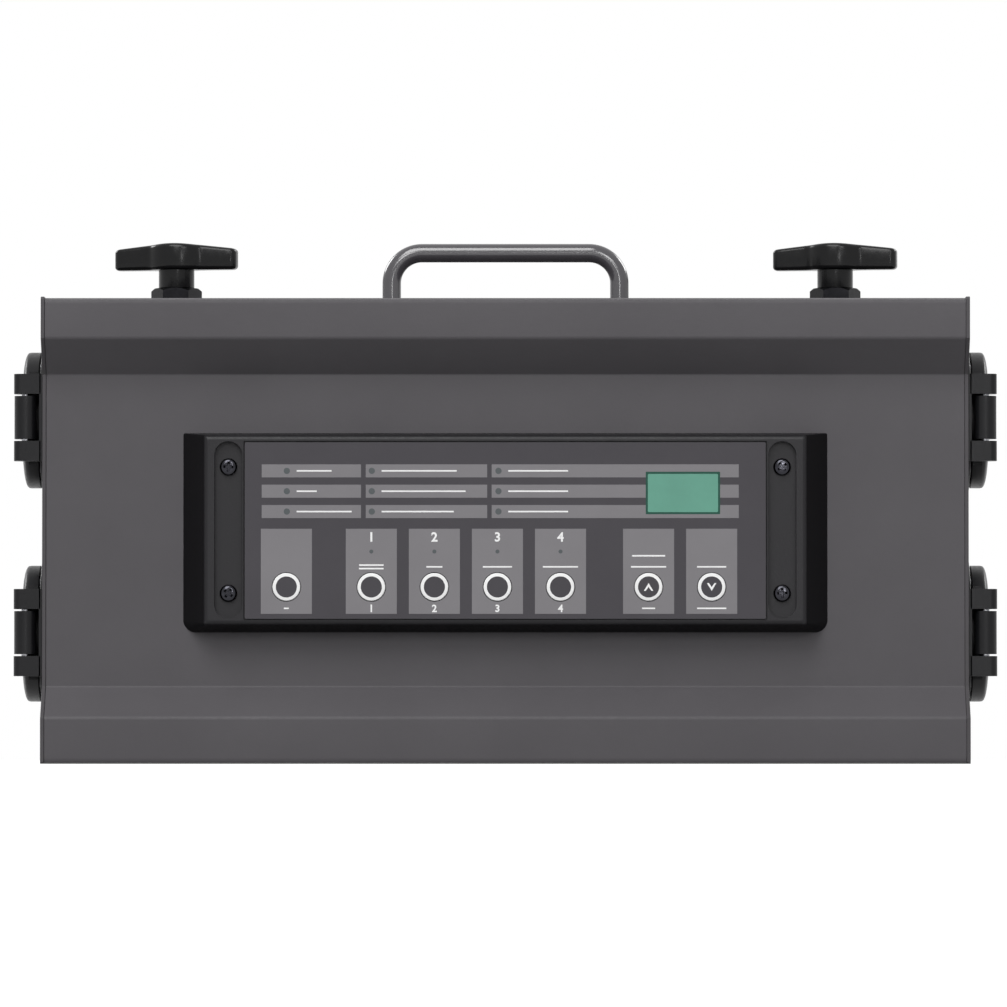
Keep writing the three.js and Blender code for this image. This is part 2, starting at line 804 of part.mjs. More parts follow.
// A key: a domed cap in the overlay and a stem through the console's wall to its switch.
function makeKey() {
  const radius = keyDiameter / 2;
  const capBack = pocketY - seatGap - keyTravel;
  const capFront = capBack - keyThickness;
  const stemEnd = boardFaceY - switchHeight - switchButtonHeight - seatGap - keyTravel;
  const profile = [
    [0, capFront],
    [radius, capFront + keyDome],
    [radius, capBack],
    [keyStem / 2, capBack],
    [keyStem / 2, stemEnd],
    [0, stemEnd],
  ];
  return turned(profile, midSteps, "y");
}

// The control board with its tact switches and lamps.
function makeControlBoard() {
  const board = towardsFront(rectangle(boardWidth, boardHeight), boardThickness, boardY);
  const switches = keyPlaces().map(([, x]) => {
    const y = [boardFaceY - switchHeight, boardFaceY + seatGap];
    const half = switchSize / 2;
    return spanBlock([x - half, x + half], y, [keyRow - half, keyRow + half]);
  });
  const buttonLength = switchHeight + switchButtonHeight;
  const buttons = keyPlaces().map(([, x]) =>
    roundTowardsFront(switchButton / 2, buttonLength, boardFaceY, x, keyRow, tinySteps),
  );
  const lamps = lampPlaces().map(([x, z]) =>
    roundTowardsFront(lampDiameter / 2, lampLength + seatGap, boardFaceY + seatGap, x, z, tinySteps),
  );
  return join(board, ...switches, ...buttons, ...lamps);
}

function makeDisplayWindow() {
  const outline = rectangle(windowWidth - 2 * fitGap, windowHeight - 2 * fitGap, 0, windowPlace, windowRow);
  return towardsFront(outline, overlayThickness, pocketY - seatGap);
}

function makeDisplayModule() {
  const outline = rectangle(moduleWidth, moduleHeight, 0, windowPlace, windowRow);
  return towardsFront(outline, moduleDepth, boardFaceY - seatGap);
}

function addConsole(pack) {
  const console = new THREE.Group();
  console.position.set(0, recessY, middleZ);
  addPiece(console, "console_housing", makeConsoleHousing(), moulding);
  addPiece(console, "keypad_overlay", makeKeypadOverlay(), labelFilm);
  addPiece(console, "display_window", makeDisplayWindow(), greenLens);
  addPiece(console, "display_module", makeDisplayModule(), blackPlastic);
  addPiece(console, "control_board", makeControlBoard(), boardGreen);
  for (const [name, x] of keyPlaces()) addPiece(console, name, makeKey(), keyPlastic, x, 0, keyRow);
  pack.add(console);
}

// The handle's centre line as the points of its two bends, between the feet of its two legs.
function handlePoints() {
  const top = handleRise - handleRod / 2;
  const points = [[-handleSpan / 2, seatGap]];
  for (const side of [-1, 1]) {
    for (let i = 0; i <= handleBendSteps; i += 1) {
      const turn = (Math.PI / 2) * (i / handleBendSteps - (side > 0 ? 0 : 1));
      const centre = side * (handleSpan / 2 - handleBend);
      points.push([centre + handleBend * Math.sin(turn), top - handleBend * (1 - Math.cos(turn))]);
    }
  }
  points.push([handleSpan / 2, seatGap]);
  return points.map(([x, z]) => new THREE.Vector3(x, 0, z));
}

// A path with exactly one step between neighbouring points.
function stepPath(points) {
  const path = new THREE.CurvePath();
  points.slice(1).forEach((point, i) => path.add(new THREE.LineCurve3(points[i], point)));
  path.getSpacedPoints = () => points;
  path.getTangentAt = (share, target = new THREE.Vector3()) => {
    const i = Math.round(share * (points.length - 1));
    const before = points[Math.max(i - 1, 0)];
    const after = points[Math.min(i + 1, points.length - 1)];
    const here = points[i];
    const arriving = here.clone().sub(before).normalize();
    return target.copy(after).sub(here).normalize().add(arriving).normalize();
  };
  return path;
}

// A bent round rod on two studs that pass through the top sheet.
function makeCarryHandle() {
  const points = handlePoints();
  const bar = solidOf(
    new THREE.ExtrudeGeometry(disc(handleRod / 2), {
      steps: points.length - 1,
      extrudePath: stepPath(points),
      curveSegments: handleSteps / 2,
    }),
  );
  const studs = [-1, 1].map((side) => {
    const stud = rod(handleStud / 2, -handleStudLength, handleRod / 2);
    return stud.translate([(side * handleSpan) / 2, 0, 0]);
  });
  return join(bar, ...studs);
}

// Heights of the clamp at rest, screwed fully down, measured from the top sheet
const stemZ = seatGap + nutHeight + fitGap;
const wingZ = stemZ + knobStemLength;
const jawTopZ = ceilingZ - topZ - clampTravel - jawHeadroom;
const jawLowZ = jawTopZ - jawBossHeight - jawHeight;

function wingPlan() {
  const quarter = [
    [knobHalfLength, knobTipHalf, knobTipRound],
    [knobHubReach, knobRootHalf, knobHubRound],
    [knobHubShoulder, knobHubHalf, knobHubRound],
  ];
  const left = quarter.map(([x, y, radius]) => [-x, y, radius]).reverse();
  const back = [...quarter, ...left];
  const front = back.map(([x, y, radius]) => [x, -y, radius]).reverse();
  return roundedOutline([...back, ...front]);
}

function wingElevation() {
  const tipTop = wingZ + knobTipHeight;
  const hubTop = wingZ + knobHubHeight;
  return roundedOutline([
    [-knobHalfLength, wingZ, knobEdgeRound],
    [knobHalfLength, wingZ, knobEdgeRound],
    [knobHalfLength, tipTop, knobEdgeRound],
    [knobCrownHalf, hubTop, knobCrownRound],
    [-knobCrownHalf, hubTop, knobCrownRound],
    [-knobHalfLength, tipTop, knobEdgeRound],
  ]);
}

function makeKnob() {
  const height = knobHubHeight + 2 * overrun;
  const plan = upwards(wingPlan(), height, wingZ - overrun, knobCornerSteps);
  const width = 2 * (knobHubHalf + overrun);
  const elevation = towardsFront(wingElevation(), width, width / 2, knobCornerSteps);
  const stem = rod(knobStemRadius, stemZ, wingZ + knobEdgeRound, midSteps);
  const bore = rod(spindleRadius + fitGap, stemZ - overrun, stemZ + knobBoreDepth, midSteps);
  return cut(join(plan.intersect(elevation), stem), bore);
}

function makeSpindle() {
  const top = stemZ + knobBoreDepth - fitGap;
  const shoulder = jawTopZ + fitGap;
  const tip = jawTopZ - spindleTipLength;
  const profile = [
    [0, tip],
    [spindleTipRadius, tip],
    [spindleTipRadius, shoulder],
    [spindleRadius, shoulder],
    [spindleRadius, top - spindleEdge],
    [spindleRadius - spindleEdge, top],
    [0, top],
  ];
  return turned(profile, midSteps);
}

function makeNut() {
  const low = seatGap;
  const high = seatGap + nutHeight;
  const corner = nutAcrossFlats / Math.sqrt(3);
  const flat = nutAcrossFlats / 2;
  const slope = (corner - flat) / nutEdge;
  const blank = [
    [0, low],
    [flat, low],
    [flat + overrun, low + overrun / slope],
    [flat + overrun, high - overrun / slope],
    [flat, high],
    [0, high],
  ];
  const bore = rod(spindleRadius + fitGap, low - overrun, high + overrun, midSteps);
  const hex = hexPrism(nutAcrossFlats, low, high).rotate([0, 0, 90]);
  return cut(turned(blank, midSteps).intersect(hex), bore);
}

// The pressure pad under the spindle, with a V underneath that centres a round tube.
function makeJaw() {
  const half = channelDepth / 2 - foldRadius - jawSideGap;
  const high = jawLowZ + jawHeight;
  const pad = roundedOutline([
    [-half, jawLowZ, jawEdge],
    [-jawGrooveHalf, jawLowZ],
    [0, jawLowZ + jawGroove],
    [jawGrooveHalf, jawLowZ],
    [half, jawLowZ, jawEdge],
    [half, high, jawEdge],
    [-half, high, jawEdge],
  ]);
  const boss = rod(jawBossRadius, high - jawEdge, jawTopZ, midSteps);
  const boreLow = jawTopZ - spindleTipLength - fitGap;
  const bore = rod(spindleTipRadius + fitGap, boreLow, jawTopZ + overrun, midSteps);
  return cut(join(alongWidth(pad, jawWidth), boss), bore);
}

function addTopPieces(pack) {
  const top = new THREE.Group();
  top.position.z = topZ;
  addPiece(top, "carry_handle", makeCarryHandle(), satinSteel, 0, handlePlace, 0);
  for (const [name, side] of [["left", -1], ["right", 1]]) {
    const clamp = new THREE.Group();
    clamp.position.set((side * clampSpacing) / 2, clampY, 0);
    const turn = new THREE.Group();
    turn.rotation.z = THREE.MathUtils.degToRad(knobTurn);
    addPiece(turn, `clamp_knob_${name}`, makeKnob(), blackPlastic);
    addPiece(clamp, `clamp_spindle_${name}`, makeSpindle(), zincSteel);
    addPiece(clamp, `clamp_nut_${name}`, makeNut(), zincSteel);
    addPiece(clamp, `clamp_jaw_${name}`, makeJaw(), blackSteel);
    clamp.add(turn);
    top.add(clamp);
  }
  pack.add(top);
}

function makeHingeEars() {
  const front = -hingeBack - earHalf;
  const back = -hingeBack + earHalf;
  const width = earOuter - earInner;
  const outline = roundedOutline([
    [seatGap + flangeThickness / 2, front],
    [earOut, front, earRound],
    [earOut, back, earRound],
    [seatGap + flangeThickness / 2, back],
  ]);
  return [earInner, -earOuter].map((low) => upwards(outline, width, low));
}

function socketFlange() {
  const flangeOut = seatGap + flangeThickness;
  const round = rod(flangeRadius, seatGap, flangeOut, wideSteps, "x");
  const hingePad = spanBlock(
    [seatGap, flangeOut],
    [-hingeBack - earHalf, -hingeBack / 2],
    [-earOuter, earOuter],
  );
  return join(round, hingePad);
}

// The plug cup with its contact holes and the two guide ribs.
function makeSocketBase() {
  const cupFloor = rimOut - cupDepth;
  const body = rod(socketBodyRadius, -socketBodyDepth, seatGap + flangeThickness / 2, wideSteps, "x");
  const rim = rod(rimRadius, seatGap + flangeThickness / 2, rimOut, wideSteps, "x");
  const cup = rod(cupRadius, cupFloor, rimOut + overrun, wideSteps, "x");
  const contacts = [-1, 1].map((side) => {
    const hole = rod(contactRadius, cupFloor - contactDepth, cupFloor + overrun, smallSteps, "x");
    return hole.translate([0, 0, (side * contactSpacing) / 2]);
  });
  const guides = [-1, 1].map((side) => {
    const y = [cupRadius - guideRise, cupRadius + guideRise].map((reach) => side * reach);
    const span = side > 0 ? y : y.reverse();
    return spanBlock([cupFloor - seatGap, flangeThickness], span, [-guideWidth / 2, guideWidth / 2]);
  });
  const pinHole = rod(hingePinRadius + fitGap, -earOuter - overrun, earOuter + overrun);
  const hollow = cut(join(socketFlange(), body, rim, ...makeHingeEars()), cup, ...contacts);
  return cut(join(hollow, ...guides), pinHole.translate([hingeOut, -hingeBack, 0]));
}

// The lid's turned cap: a skirt and a crown that curves in from its shoulder.
function lidCap() {
  const crown = lidCrownShares.map(([out, up]) => [
    lidRadius * out,
    lidShoulder + (lidCrown - lidShoulder) * up,
  ]);
  const inside = lidRadius - lidWall;
  const profile = [[0, lidCeiling], [inside, lidCeiling], [inside, lidLow], [lidRadius, lidLow], ...crown];
  return turned(profile, wideSteps, "x");
}

function makeSocketLid() {
  const barrelHalf = earInner - barrelGap;
  const beyond = -hingeBack - lidRadius;
  const skirtRelief = spanBlock(
    [lidLow - overrun, lidRelief],
    [beyond, -lidReliefEdge],
    [-earOuter - lidEarGap, earOuter + lidEarGap],
  );
  const earReliefs = [1, -1].map((side) => {
    const z = [barrelHalf, earOuter + lidEarGap].map((reach) => side * reach);
    const span = side > 0 ? z : z.reverse();
    return spanBlock([lidLow, earOut + overrun], [beyond, -hingeBack + earHalf + lidEarGap], span);
  });
  const barrel = rod(barrelRadius, -barrelHalf, barrelHalf, midSteps).translate([hingeOut, -hingeBack, 0]);
  const web = spanBlock([lidRelief, lidWebOut], [-hingeBack, -lidReliefEdge], [-barrelHalf, barrelHalf]);
  const tab = spanBlock(
    [lidLow, lidTabOut],
    [lidRadius - lidWall / 2, lidRadius + lidTabReach],
    [-lidTabWidth / 2, lidTabWidth / 2],
  );
  const bore = rod(hingePinRadius + fitGap, -earOuter, earOuter).translate([hingeOut, -hingeBack, 0]);
  const cap = cut(lidCap(), skirtRelief, ...earReliefs);
  return cut(join(cap, web, barrel, tab), bore);
}

function makeHingePin() {
  const half = earOuter - seatGap;
  return rod(hingePinRadius, -half, half);
}

function addSockets(pack) {
  for (const [sideName, side] of [["left", -1], ["right", 1]]) {
    const end = new THREE.Group();
    end.position.x = (side * packWidth) / 2;
    end.scale.x = side;
    ["lower", "upper"].forEach((levelName, i) => {
      const socket = new THREE.Group();
      socket.position.set(0, socketY, socketShares[i] * packHeight);
      const name = `${sideName}_${levelName}`;
      addPiece(socket, `socket_base_${name}`, makeSocketBase(), blackPlastic);
      addPiece(socket, `socket_lid_${name}`, makeSocketLid(), blackPlastic);
      addPiece(socket, `socket_pin_${name}`, makeHingePin(), zincSteel, hingeOut, -hingeBack, 0);
      end.add(socket);
    });
    pack.add(end);
  }
}

// Places of the three contacts of a round connector, as [x, z].
function dmxContacts() {
  return dmxPinAngles.map((degrees) => {
    const angle = THREE.MathUtils.degToRad(degrees);
    return [dmxPinCircle * Math.cos(angle), dmxPinCircle * Math.sin(angle)];
  });
}

function dmxBody() {
  const flange = rectangle(dmxFlangeWidth, dmxFlangeHeight, dmxCorner);
  return join(
    towardsFront(flange, dmxFlange, seatGap + dmxFlange),
    rod(dmxBodyRadius, -dmxBodyDepth, seatGap * 2, midSteps, "y"),
    rod(dmxRingRadius, dmxFlange, dmxRingOut, midSteps, "y"),
  );
}

function makeDmxInput() {
  const floor = dmxRingOut - dmxCupDepth;
  const cup = rod(dmxCupRadius, floor, dmxRingOut + overrun, midSteps, "y");
  const pins = dmxContacts().map(([x, z]) =>
    roundTowardsFront(dmxPinRadius, dmxPinLength, floor - seatGap + dmxPinLength, x, z, tinySteps),
  );
  return join(cut(dmxBody(), cup), ...pins);
}

function makeDmxOutput() {
  const core = dmxCupRadius - dmxGrooveWidth;
  const floor = dmxRingOut - dmxGrooveDepth;
  const groove = tube(dmxCupRadius, core, floor, dmxRingOut + overrun, midSteps, "y");
  const depth = dmxGrooveDepth + overrun;
  const holes = dmxContacts().map(([x, z]) =>
    roundTowardsFront(dmxPinRadius + fitGap, depth, dmxRingOut + overrun, x, z, tinySteps),
  );
  const rise = dmxRingRadius + latchHeight / 2 - seatGap;
  const latch = rectangle(latchWidth, latchHeight, 0, 0, rise);
  const lever = towardsFront(latch, dmxRingOut - dmxFlange / 2, dmxRingOut);
  return join(cut(dmxBody(), groove, ...holes), lever);
}

// The gland on the rear wall with its dome nut outside and its locknut inside.
function makeMainsGland() {
  const hexOut = seatGap + glandHexHeight;
  const dome = turned(
    [
      [0, hexOut - seatGap],
      [glandDome, hexOut - seatGap],
      [glandDome, glandOut - glandRound],
      [glandDome - glandRound * glandRoundShare, glandOut - glandRound * glandRoundShare],
      [glandDome - glandRound, glandOut],
      [0, glandOut],
    ],
    midSteps,
    "y",
  );
  const hex = hexPrism(glandHex, seatGap, hexOut, "y");
  const thread = rod(glandThread, -glandInside, seatGap * 2, midSteps, "y");
  const locknut = hexPrism(locknutHex, -sheet - seatGap - locknutHeight, -sheet - seatGap, "y");
  const bore = rod(glandBore, -glandInside - overrun, glandOut + overrun, midSteps, "y");
  return cut(join(hex, dome, thread, locknut), bore);
}

function makeFuseHolder() {
  const bezelOut = seatGap + fuseBezelHeight;
  const profile = [
    [0, -fuseDepth],
    [fuseTube, -fuseDepth],
    [fuseTube, seatGap],
    [fuseBezel, seatGap],
    [fuseBezel, bezelOut],
    [fuseBore, bezelOut],
    [fuseBore, -fuseBoreDepth],
    [0, -fuseBoreDepth],
  ];
  return turned(profile, smallSteps, "y");
}

function makeFuseCap() {
  const low = 2 * seatGap + fuseBezelHeight;
  const high = low + fuseCapHeight;
  const profile = [
    [0, low - fuseCapStemLength],
    [fuseCapStem, low - fuseCapStemLength],
    [fuseCapStem, low],
    [fuseCapRadius, low],
    [fuseCapRadius, high],
    [0, high],
  ];
  const slot = spanBlock(
    [-fuseCapRadius - overrun, fuseCapRadius + overrun],
    [high - fuseSlotDepth, high + overrun],
    [-fuseSlotWidth / 2, fuseSlotWidth / 2],
  );
  return cut(turned(profile, smallSteps, "y"), slot);
}

function addRearPieces(pack) {
  const rear = new THREE.Group();
  rear.position.y = rearY;
  const dmxX = dmxSpacing / 2;
  addPiece(rear, "dmx_input_connector", makeDmxInput(), blackPlastic, dmxPlace - dmxX, 0, connectorRow);
  addPiece(rear, "dmx_output_connector", makeDmxOutput(), blackPlastic, dmxPlace + dmxX, 0, connectorRow);
  addPiece(rear, "mains_gland", makeMainsGland(), blackPlastic, glandPlace, 0, connectorRow);
  for (let i = 0; i < channelCount; i += 1) {
    addPiece(rear, `fuse_holder_${i + 1}`, makeFuseHolder(), blackPlastic, fusePlace(i), 0, fuseRow);
    addPiece(rear, `fuse_cap_${i + 1}`, makeFuseCap(), blackPlastic, fusePlace(i), 0, fuseRow);
  }
  pack.add(rear);
}

// A comb section: a flat base with fins towards the front.
function makeHeatSink() {
  const base = block(sinkLength, sinkBase, sinkHeight, 0, -sinkBase / 2, sinkHeight / 2);
  const pitch = (sinkHeight - sinkFin) / (sinkFinCount - 1);
  const fins = [];
  for (let i = 0; i < sinkFinCount; i += 1) {
    const reach = [-sinkBase - sinkFinReach, seatGap - sinkBase];
    fins.push(spanBlock([-sinkLength / 2, sinkLength / 2], reach, [i * pitch, i * pitch + sinkFin]));
  }
  return join(base, ...fins);
}

function makeTriac() {
  const body = spanBlock(
    [-triacWidth / 2, triacWidth / 2],
    [0, triacThickness],
    [triacRise, triacRise + triacHeight],
  );
  const legs = [-1, 0, 1].map((place) => {
    const x = place * triacLegPitch;
    const y = (triacThickness - triacLeg) / 2;
    return spanBlock([x - triacLeg / 2, x + triacLeg / 2], [y, y + triacLeg], [0, triacRise + seatGap]);
  });
  return join(body, ...legs);
}

// A ring choke standing on edge.
function makeChoke() {
  const ring = tube(chokeOuter, chokeInner, -chokeHalf, chokeHalf, midSteps, "x");
  return ring.translate([0, 0, chokeOuter]);
}

function makeTransformer() {
  const core = block(coreWidth, coreDepth, coreHeight, 0, 0, coreHeight / 2);
  return join(core, block(coilWidth, coilDepth, coilHeight, 0, 0, coreHeight / 2));
}

// A stepped terminal block with a wire entry for each way.
function makeTerminalBlock() {
  const half = terminalDepth / 2;
  const outline = roundedOutline([
    [-half, 0],
    [half, 0],
    [half, terminalHeight - terminalStep],
    [half - terminalStep, terminalHeight],
    [-half, terminalHeight],
  ]);
  const strip = alongWidth(outline, terminalLength);
  const pitch = terminalLength / terminalCount;
  const holes = [];
  for (let i = 0; i < terminalCount; i += 1) {
    const x = (i - (terminalCount - 1) / 2) * pitch;
    const z = (terminalHeight - terminalStep) / 2;
    holes.push(roundTowardsFront(terminalHole, half + overrun, half + overrun, x, z, tinySteps));
  }
  return cut(strip, ...holes).rotate([0, 0, -90]);
}

function addInnerPieces(pack) {
  const inside = new THREE.Group();
  inside.position.z = mainBoardTop + seatGap;
  const board = block(mainBoardWidth, mainBoardDepth, boardThickness, 0, 0, -boardThickness / 2);
  addPiece(inside, "power_board", board, boardGreen, 0, 0, -seatGap);
  addPiece(inside, "heat_sink", makeHeatSink(), aluminium, 0, sinkPlace, 0);
  for (let i = 0; i < channelCount; i += 1) {
    const place = (i - (channelCount - 1) / 2) * sinkLength;
    const triacX = place * triacPitchShare;
    addPiece(inside, `triac_${i + 1}`, makeTriac(), blackPlastic, triacX, sinkPlace + seatGap, 0);
    addPiece(inside, `choke_${i + 1}`, makeChoke(), copper, place * chokePitchShare, chokePlace, 0);
  }
  addPiece(inside, "control_transformer", makeTransformer(), blackSteel, -innerPlace, innerRow, 0);
  addPiece(inside, "terminal_block", makeTerminalBlock(), boardGreen, innerPlace, innerRow, 0);
  pack.add(inside);
}

const pack = new THREE.Group();
pack.name = "dimmer_pack";
addHousing(pack);
addConsole(pack);
addTopPieces(pack);
addSockets(pack);
addRearPieces(pack);
addInnerPieces(pack);

export default pack;
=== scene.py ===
"""Looks of the four-channel dimmer pack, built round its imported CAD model.

Sizes here are in millimetres, and a mesh is turned to metres when it becomes a piece.
"""

import json
import math

import bmesh
import bpy
from mathutils import Matrix, Vector

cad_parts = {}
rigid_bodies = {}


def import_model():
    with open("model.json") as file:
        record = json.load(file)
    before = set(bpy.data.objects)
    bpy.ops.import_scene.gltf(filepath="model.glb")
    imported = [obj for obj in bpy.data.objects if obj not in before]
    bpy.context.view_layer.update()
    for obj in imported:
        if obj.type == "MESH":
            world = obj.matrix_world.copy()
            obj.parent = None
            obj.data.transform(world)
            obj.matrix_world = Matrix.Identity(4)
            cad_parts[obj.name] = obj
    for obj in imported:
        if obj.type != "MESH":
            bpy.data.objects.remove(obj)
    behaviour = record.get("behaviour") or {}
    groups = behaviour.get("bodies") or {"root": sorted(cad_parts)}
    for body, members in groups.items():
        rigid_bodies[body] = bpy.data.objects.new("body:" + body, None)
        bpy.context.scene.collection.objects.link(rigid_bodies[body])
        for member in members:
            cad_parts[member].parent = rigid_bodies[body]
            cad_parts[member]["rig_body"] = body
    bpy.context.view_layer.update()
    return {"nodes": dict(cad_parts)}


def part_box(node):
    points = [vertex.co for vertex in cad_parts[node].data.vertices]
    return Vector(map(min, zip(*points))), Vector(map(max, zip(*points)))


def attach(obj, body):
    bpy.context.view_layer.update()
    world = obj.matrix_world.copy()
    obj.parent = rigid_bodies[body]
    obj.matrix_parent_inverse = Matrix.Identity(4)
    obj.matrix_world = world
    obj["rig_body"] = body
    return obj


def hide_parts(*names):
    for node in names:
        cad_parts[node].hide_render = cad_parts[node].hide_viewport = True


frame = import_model()

MM = 0.001
WELD = 0.001  # points closer than this are one
STRAIGHT = 0.001  # a corner this close to straight, in radians, isn't rounded
FLAT_TURN = math.radians(0.5)  # faces that turn less than this are one
CREASE = math.radians(35)  # faces that turn more than this have a hard edge
OVERRUN = 1  # how far a cutting tool runs past what it cuts
CUTTER_REACH = 60  # half the length of a tool that cuts right through
CHANNELS = range(1, 5)  # each has its key, fuse, triac and choke

# Steps round a circle, for what is as large as the names say
PIN_STEPS, POST_STEPS, HEAD_STEPS, KNOB_STEPS, LID_STEPS = 24, 32, 40, 64, 96

# Turns from upwards to another direction
TO_FRONT = Matrix.Rotation(math.pi / 2, 4, "X")
TO_REAR = Matrix.Rotation(-math.pi / 2, 4, "X")
TO_RIGHT = Matrix.Rotation(math.pi / 2, 4, "Y")
TO_LEFT = Matrix.Rotation(-math.pi / 2, 4, "Y")

# Camera and light

FRAME_WIDTH = 400.6  # what the picture takes in at the console's face
CAMERA_DISTANCE = 3300
CAMERA_YAW = math.radians(0.15)  # the camera stands slightly to the right
CAMERA_HEIGHT = 3  # just above the floor, below the middle of the case
AIM = Vector((-0.7, -60, 103.5))
FAR_CLIP = 100  # metres
# Name, place, aim, size, power in watts, and sides: a lamp with two sides stands at both ends of the case
LAMPS = [
    ("key_softbox", (-1000, -3400, 4150), (0, 0, 90), 3000, 200, (1,)),
    ("front_softbox", (330, -3300, 420), (0, 0, 150), 300, 4.5, (1,)),
    ("rear_softbox", (3000, 2400, 2200), (0, 0, 90), 1600, 70, (-1, 1)),
    ("fill_softbox", (800, -3300, 1500), (0, 0, 90), 900, 20, (-1, 1)),
]


def add_camera():
    away = Vector((math.sin(CAMERA_YAW), -math.cos(CAMERA_YAW), 0)) * CAMERA_DISTANCE
    eye = AIM + away
    eye.z = CAMERA_HEIGHT
    data = bpy.data.cameras.new("camera")
    data.lens = data.sensor_width * (eye - AIM).length / FRAME_WIDTH
    data.clip_end = FAR_CLIP
    camera = bpy.data.objects.new("camera", data)
    camera.location = eye * MM
    camera.rotation_euler = (AIM - eye).to_track_quat("-Z", "Y").to_euler()
    bpy.context.scene.collection.objects.link(camera)
    bpy.context.scene.camera = camera


def add_lamp(name, place, target, size, power):
    data = bpy.data.lights.new(name, "AREA")
    data.shape = "SQUARE"
    data.size = size * MM
    data.energy = power
    lamp = bpy.data.objects.new(name, data)
    lamp.location = Vector(place) * MM
    lamp.rotation_euler = (Vector(target) - Vector(place)).to_track_quat("-Z", "Y").to_euler()
    bpy.context.scene.collection.objects.link(lamp)


def add_lamps():
    for name, (x, y, z), aim, size, power, sides in LAMPS:
        for side in sides:
            add_lamp(name, (side * x, y, z), aim, size, power)


# Materials

# Sockets of a colour Mix node
MIX_FACTOR, MIX_FIRST, MIX_SECOND, MIX_RESULT = 0, 6, 7, 2
NOISE_SPAN = {"From Min": 0.3, "From Max": 0.7}  # where nearly all of a noise pattern lies
RELIEF_DETAIL = 2
RELIEF_STRENGTH = 0.6
PATCH_DETAIL = 4
PATCH_ROUGHNESS = 0.6


def linear(colour):
    """An sRGB hex colour as linear red, green and blue, with alpha."""
    channels = [int(colour[i : i + 2], 16) / 255 for i in (0, 2, 4)]
    return [c / 12.92 if c <= 0.04045 else ((c + 0.055) / 1.055) ** 2.4 for c in channels] + [1]


def per_metre(size):
    """The scale of a pattern on Object coordinates whose features are size millimetres apart."""
    return 1 / (size * MM)


def add_node(material, kind, settings=None, inputs=None):
    """Adds a node. An input is given by its name or number, as a value or as another node's output."""
    made = material.node_tree.nodes.new(kind)
    for name, value in (settings or {}).items():
        setattr(made, name, value)
    for name, value in (inputs or {}).items():
        if isinstance(value, bpy.types.NodeSocket):
            material.node_tree.links.new(value, made.inputs[name])
        else:
            made.inputs[name].default_value = value
    return made


def start_material(name):
    """An empty material, and the place on the object that its patterns read."""
    material = bpy.data.materials.new(name)
    material.use_nodes = True
    material.node_tree.nodes.clear()
    return material, add_node(material, "ShaderNodeTexCoord").outputs["Object"]


def shaded(material, share, colours, relief, gloss, bumps, **sockets):
    """Ends a material with its shader.

    A share between 0 and 1 mixes the two colours. The relief gives the roughness and the bumps, with the
    values in gloss and bumps. The sockets hold what is the same all over the surface.
    """
    mixed = add_node(
        material,
        "ShaderNodeMix",
        {"data_type": "RGBA"},
        {MIX_FACTOR: share, MIX_FIRST: linear(colours[0]), MIX_SECOND: linear(colours[1])},
    )
    rough = add_node(material, "ShaderNodeMapRange", inputs={"Value": relief, **gloss})
    bumped = add_node(material, "ShaderNodeBump", inputs={"Height": relief, **bumps})
    inputs = {
        "Base Color": mixed.outputs[MIX_RESULT],
        "Roughness": rough.outputs[0],
        "Normal": bumped.outputs[0],
        **{name.replace("_", " "): value for name, value in sockets.items()},
    }
    shader = add_node(material, "ShaderNodeBsdfPrincipled", inputs=inputs)
    add_node(material, "ShaderNodeOutputMaterial", inputs={"Surface": shader.outputs[0]})
    return material


def grained(name, colours, roughness, grain, depth, patch=30, stretch=(1, 1, 1), **sockets):
    """A surface with a fine relief and slight patches of colour.

    The two colours are those of the patches, and the two roughnesses those of the relief's lows and highs.
    Grain and patch are the sizes of both patterns and depth the relief's height, all in millimetres. Stretch
    below 1 draws the relief out along an axis.
    """
    material, place = start_material(name)
    drawn = add_node(material, "ShaderNodeMapping", inputs={"Vector": place, "Scale": stretch})
    relief = add_node(
        material,
        "ShaderNodeTexNoise",
        inputs={"Vector": drawn.outputs[0], "Scale": per_metre(grain), "Detail": RELIEF_DETAIL},
    ).outputs["Fac"]
    patches = add_node(
        material,
        "ShaderNodeTexNoise",
        inputs={
            "Vector": place,
            "Scale": per_metre(patch),
            "Detail": PATCH_DETAIL,
            "Roughness": PATCH_ROUGHNESS,
        },
    ).outputs["Fac"]
    share = add_node(material, "ShaderNodeMapRange", inputs={"Value": patches, **NOISE_SPAN}).outputs[0]
    gloss = {**NOISE_SPAN, "To Min": roughness[0], "To Max": roughness[1]}
    bumps = {"Distance": depth * MM, "Strength": RELIEF_STRENGTH}
    return shaded(material, share, colours, relief, gloss, bumps, **sockets)


TRACK_PITCH = 3.2
TRACK_DISORDER = 0.35
TRACK_EDGE = {"From Min": 0.42, "From Max": 0.5}
TRACK_COLOURS = ("2a6340", "3f8257")
TRACK_GLOSS = {"To Min": 0.3, "To Max": 0.42}
TRACK_RELIEF = 0.03


def solder_mask():
    """Glass-fibre board under green solder mask: satin, with the copper tracks showing through."""
    material, place = start_material("solder_mask_board")
    cells = add_node(
        material,
        "ShaderNodeTexVoronoi",
        {"distance": "CHEBYCHEV"},
        {"Vector": place, "Scale": per_metre(TRACK_PITCH), "Randomness": TRACK_DISORDER},
    )
    edges = {"Value": cells.outputs["Distance"], **TRACK_EDGE}
    tracks = add_node(material, "ShaderNodeMapRange", inputs=edges).outputs[0]
    return shaded(material, tracks, TRACK_COLOURS, tracks, TRACK_GLOSS, {"Distance": TRACK_RELIEF * MM})


WIRE_PITCH = 1.1
WIRE_COLOURS = ("7a3f22", "c07a4c")
WIRE_GLOSS = {"To Min": 0.42, "To Max": 0.28}
WIRE_RELIEF = 0.4
ENAMEL_SHARE = 0.5
WAVE_BANDS = 20 / (2 * math.pi)  # a Wave texture's bands for each metre at a scale of 1


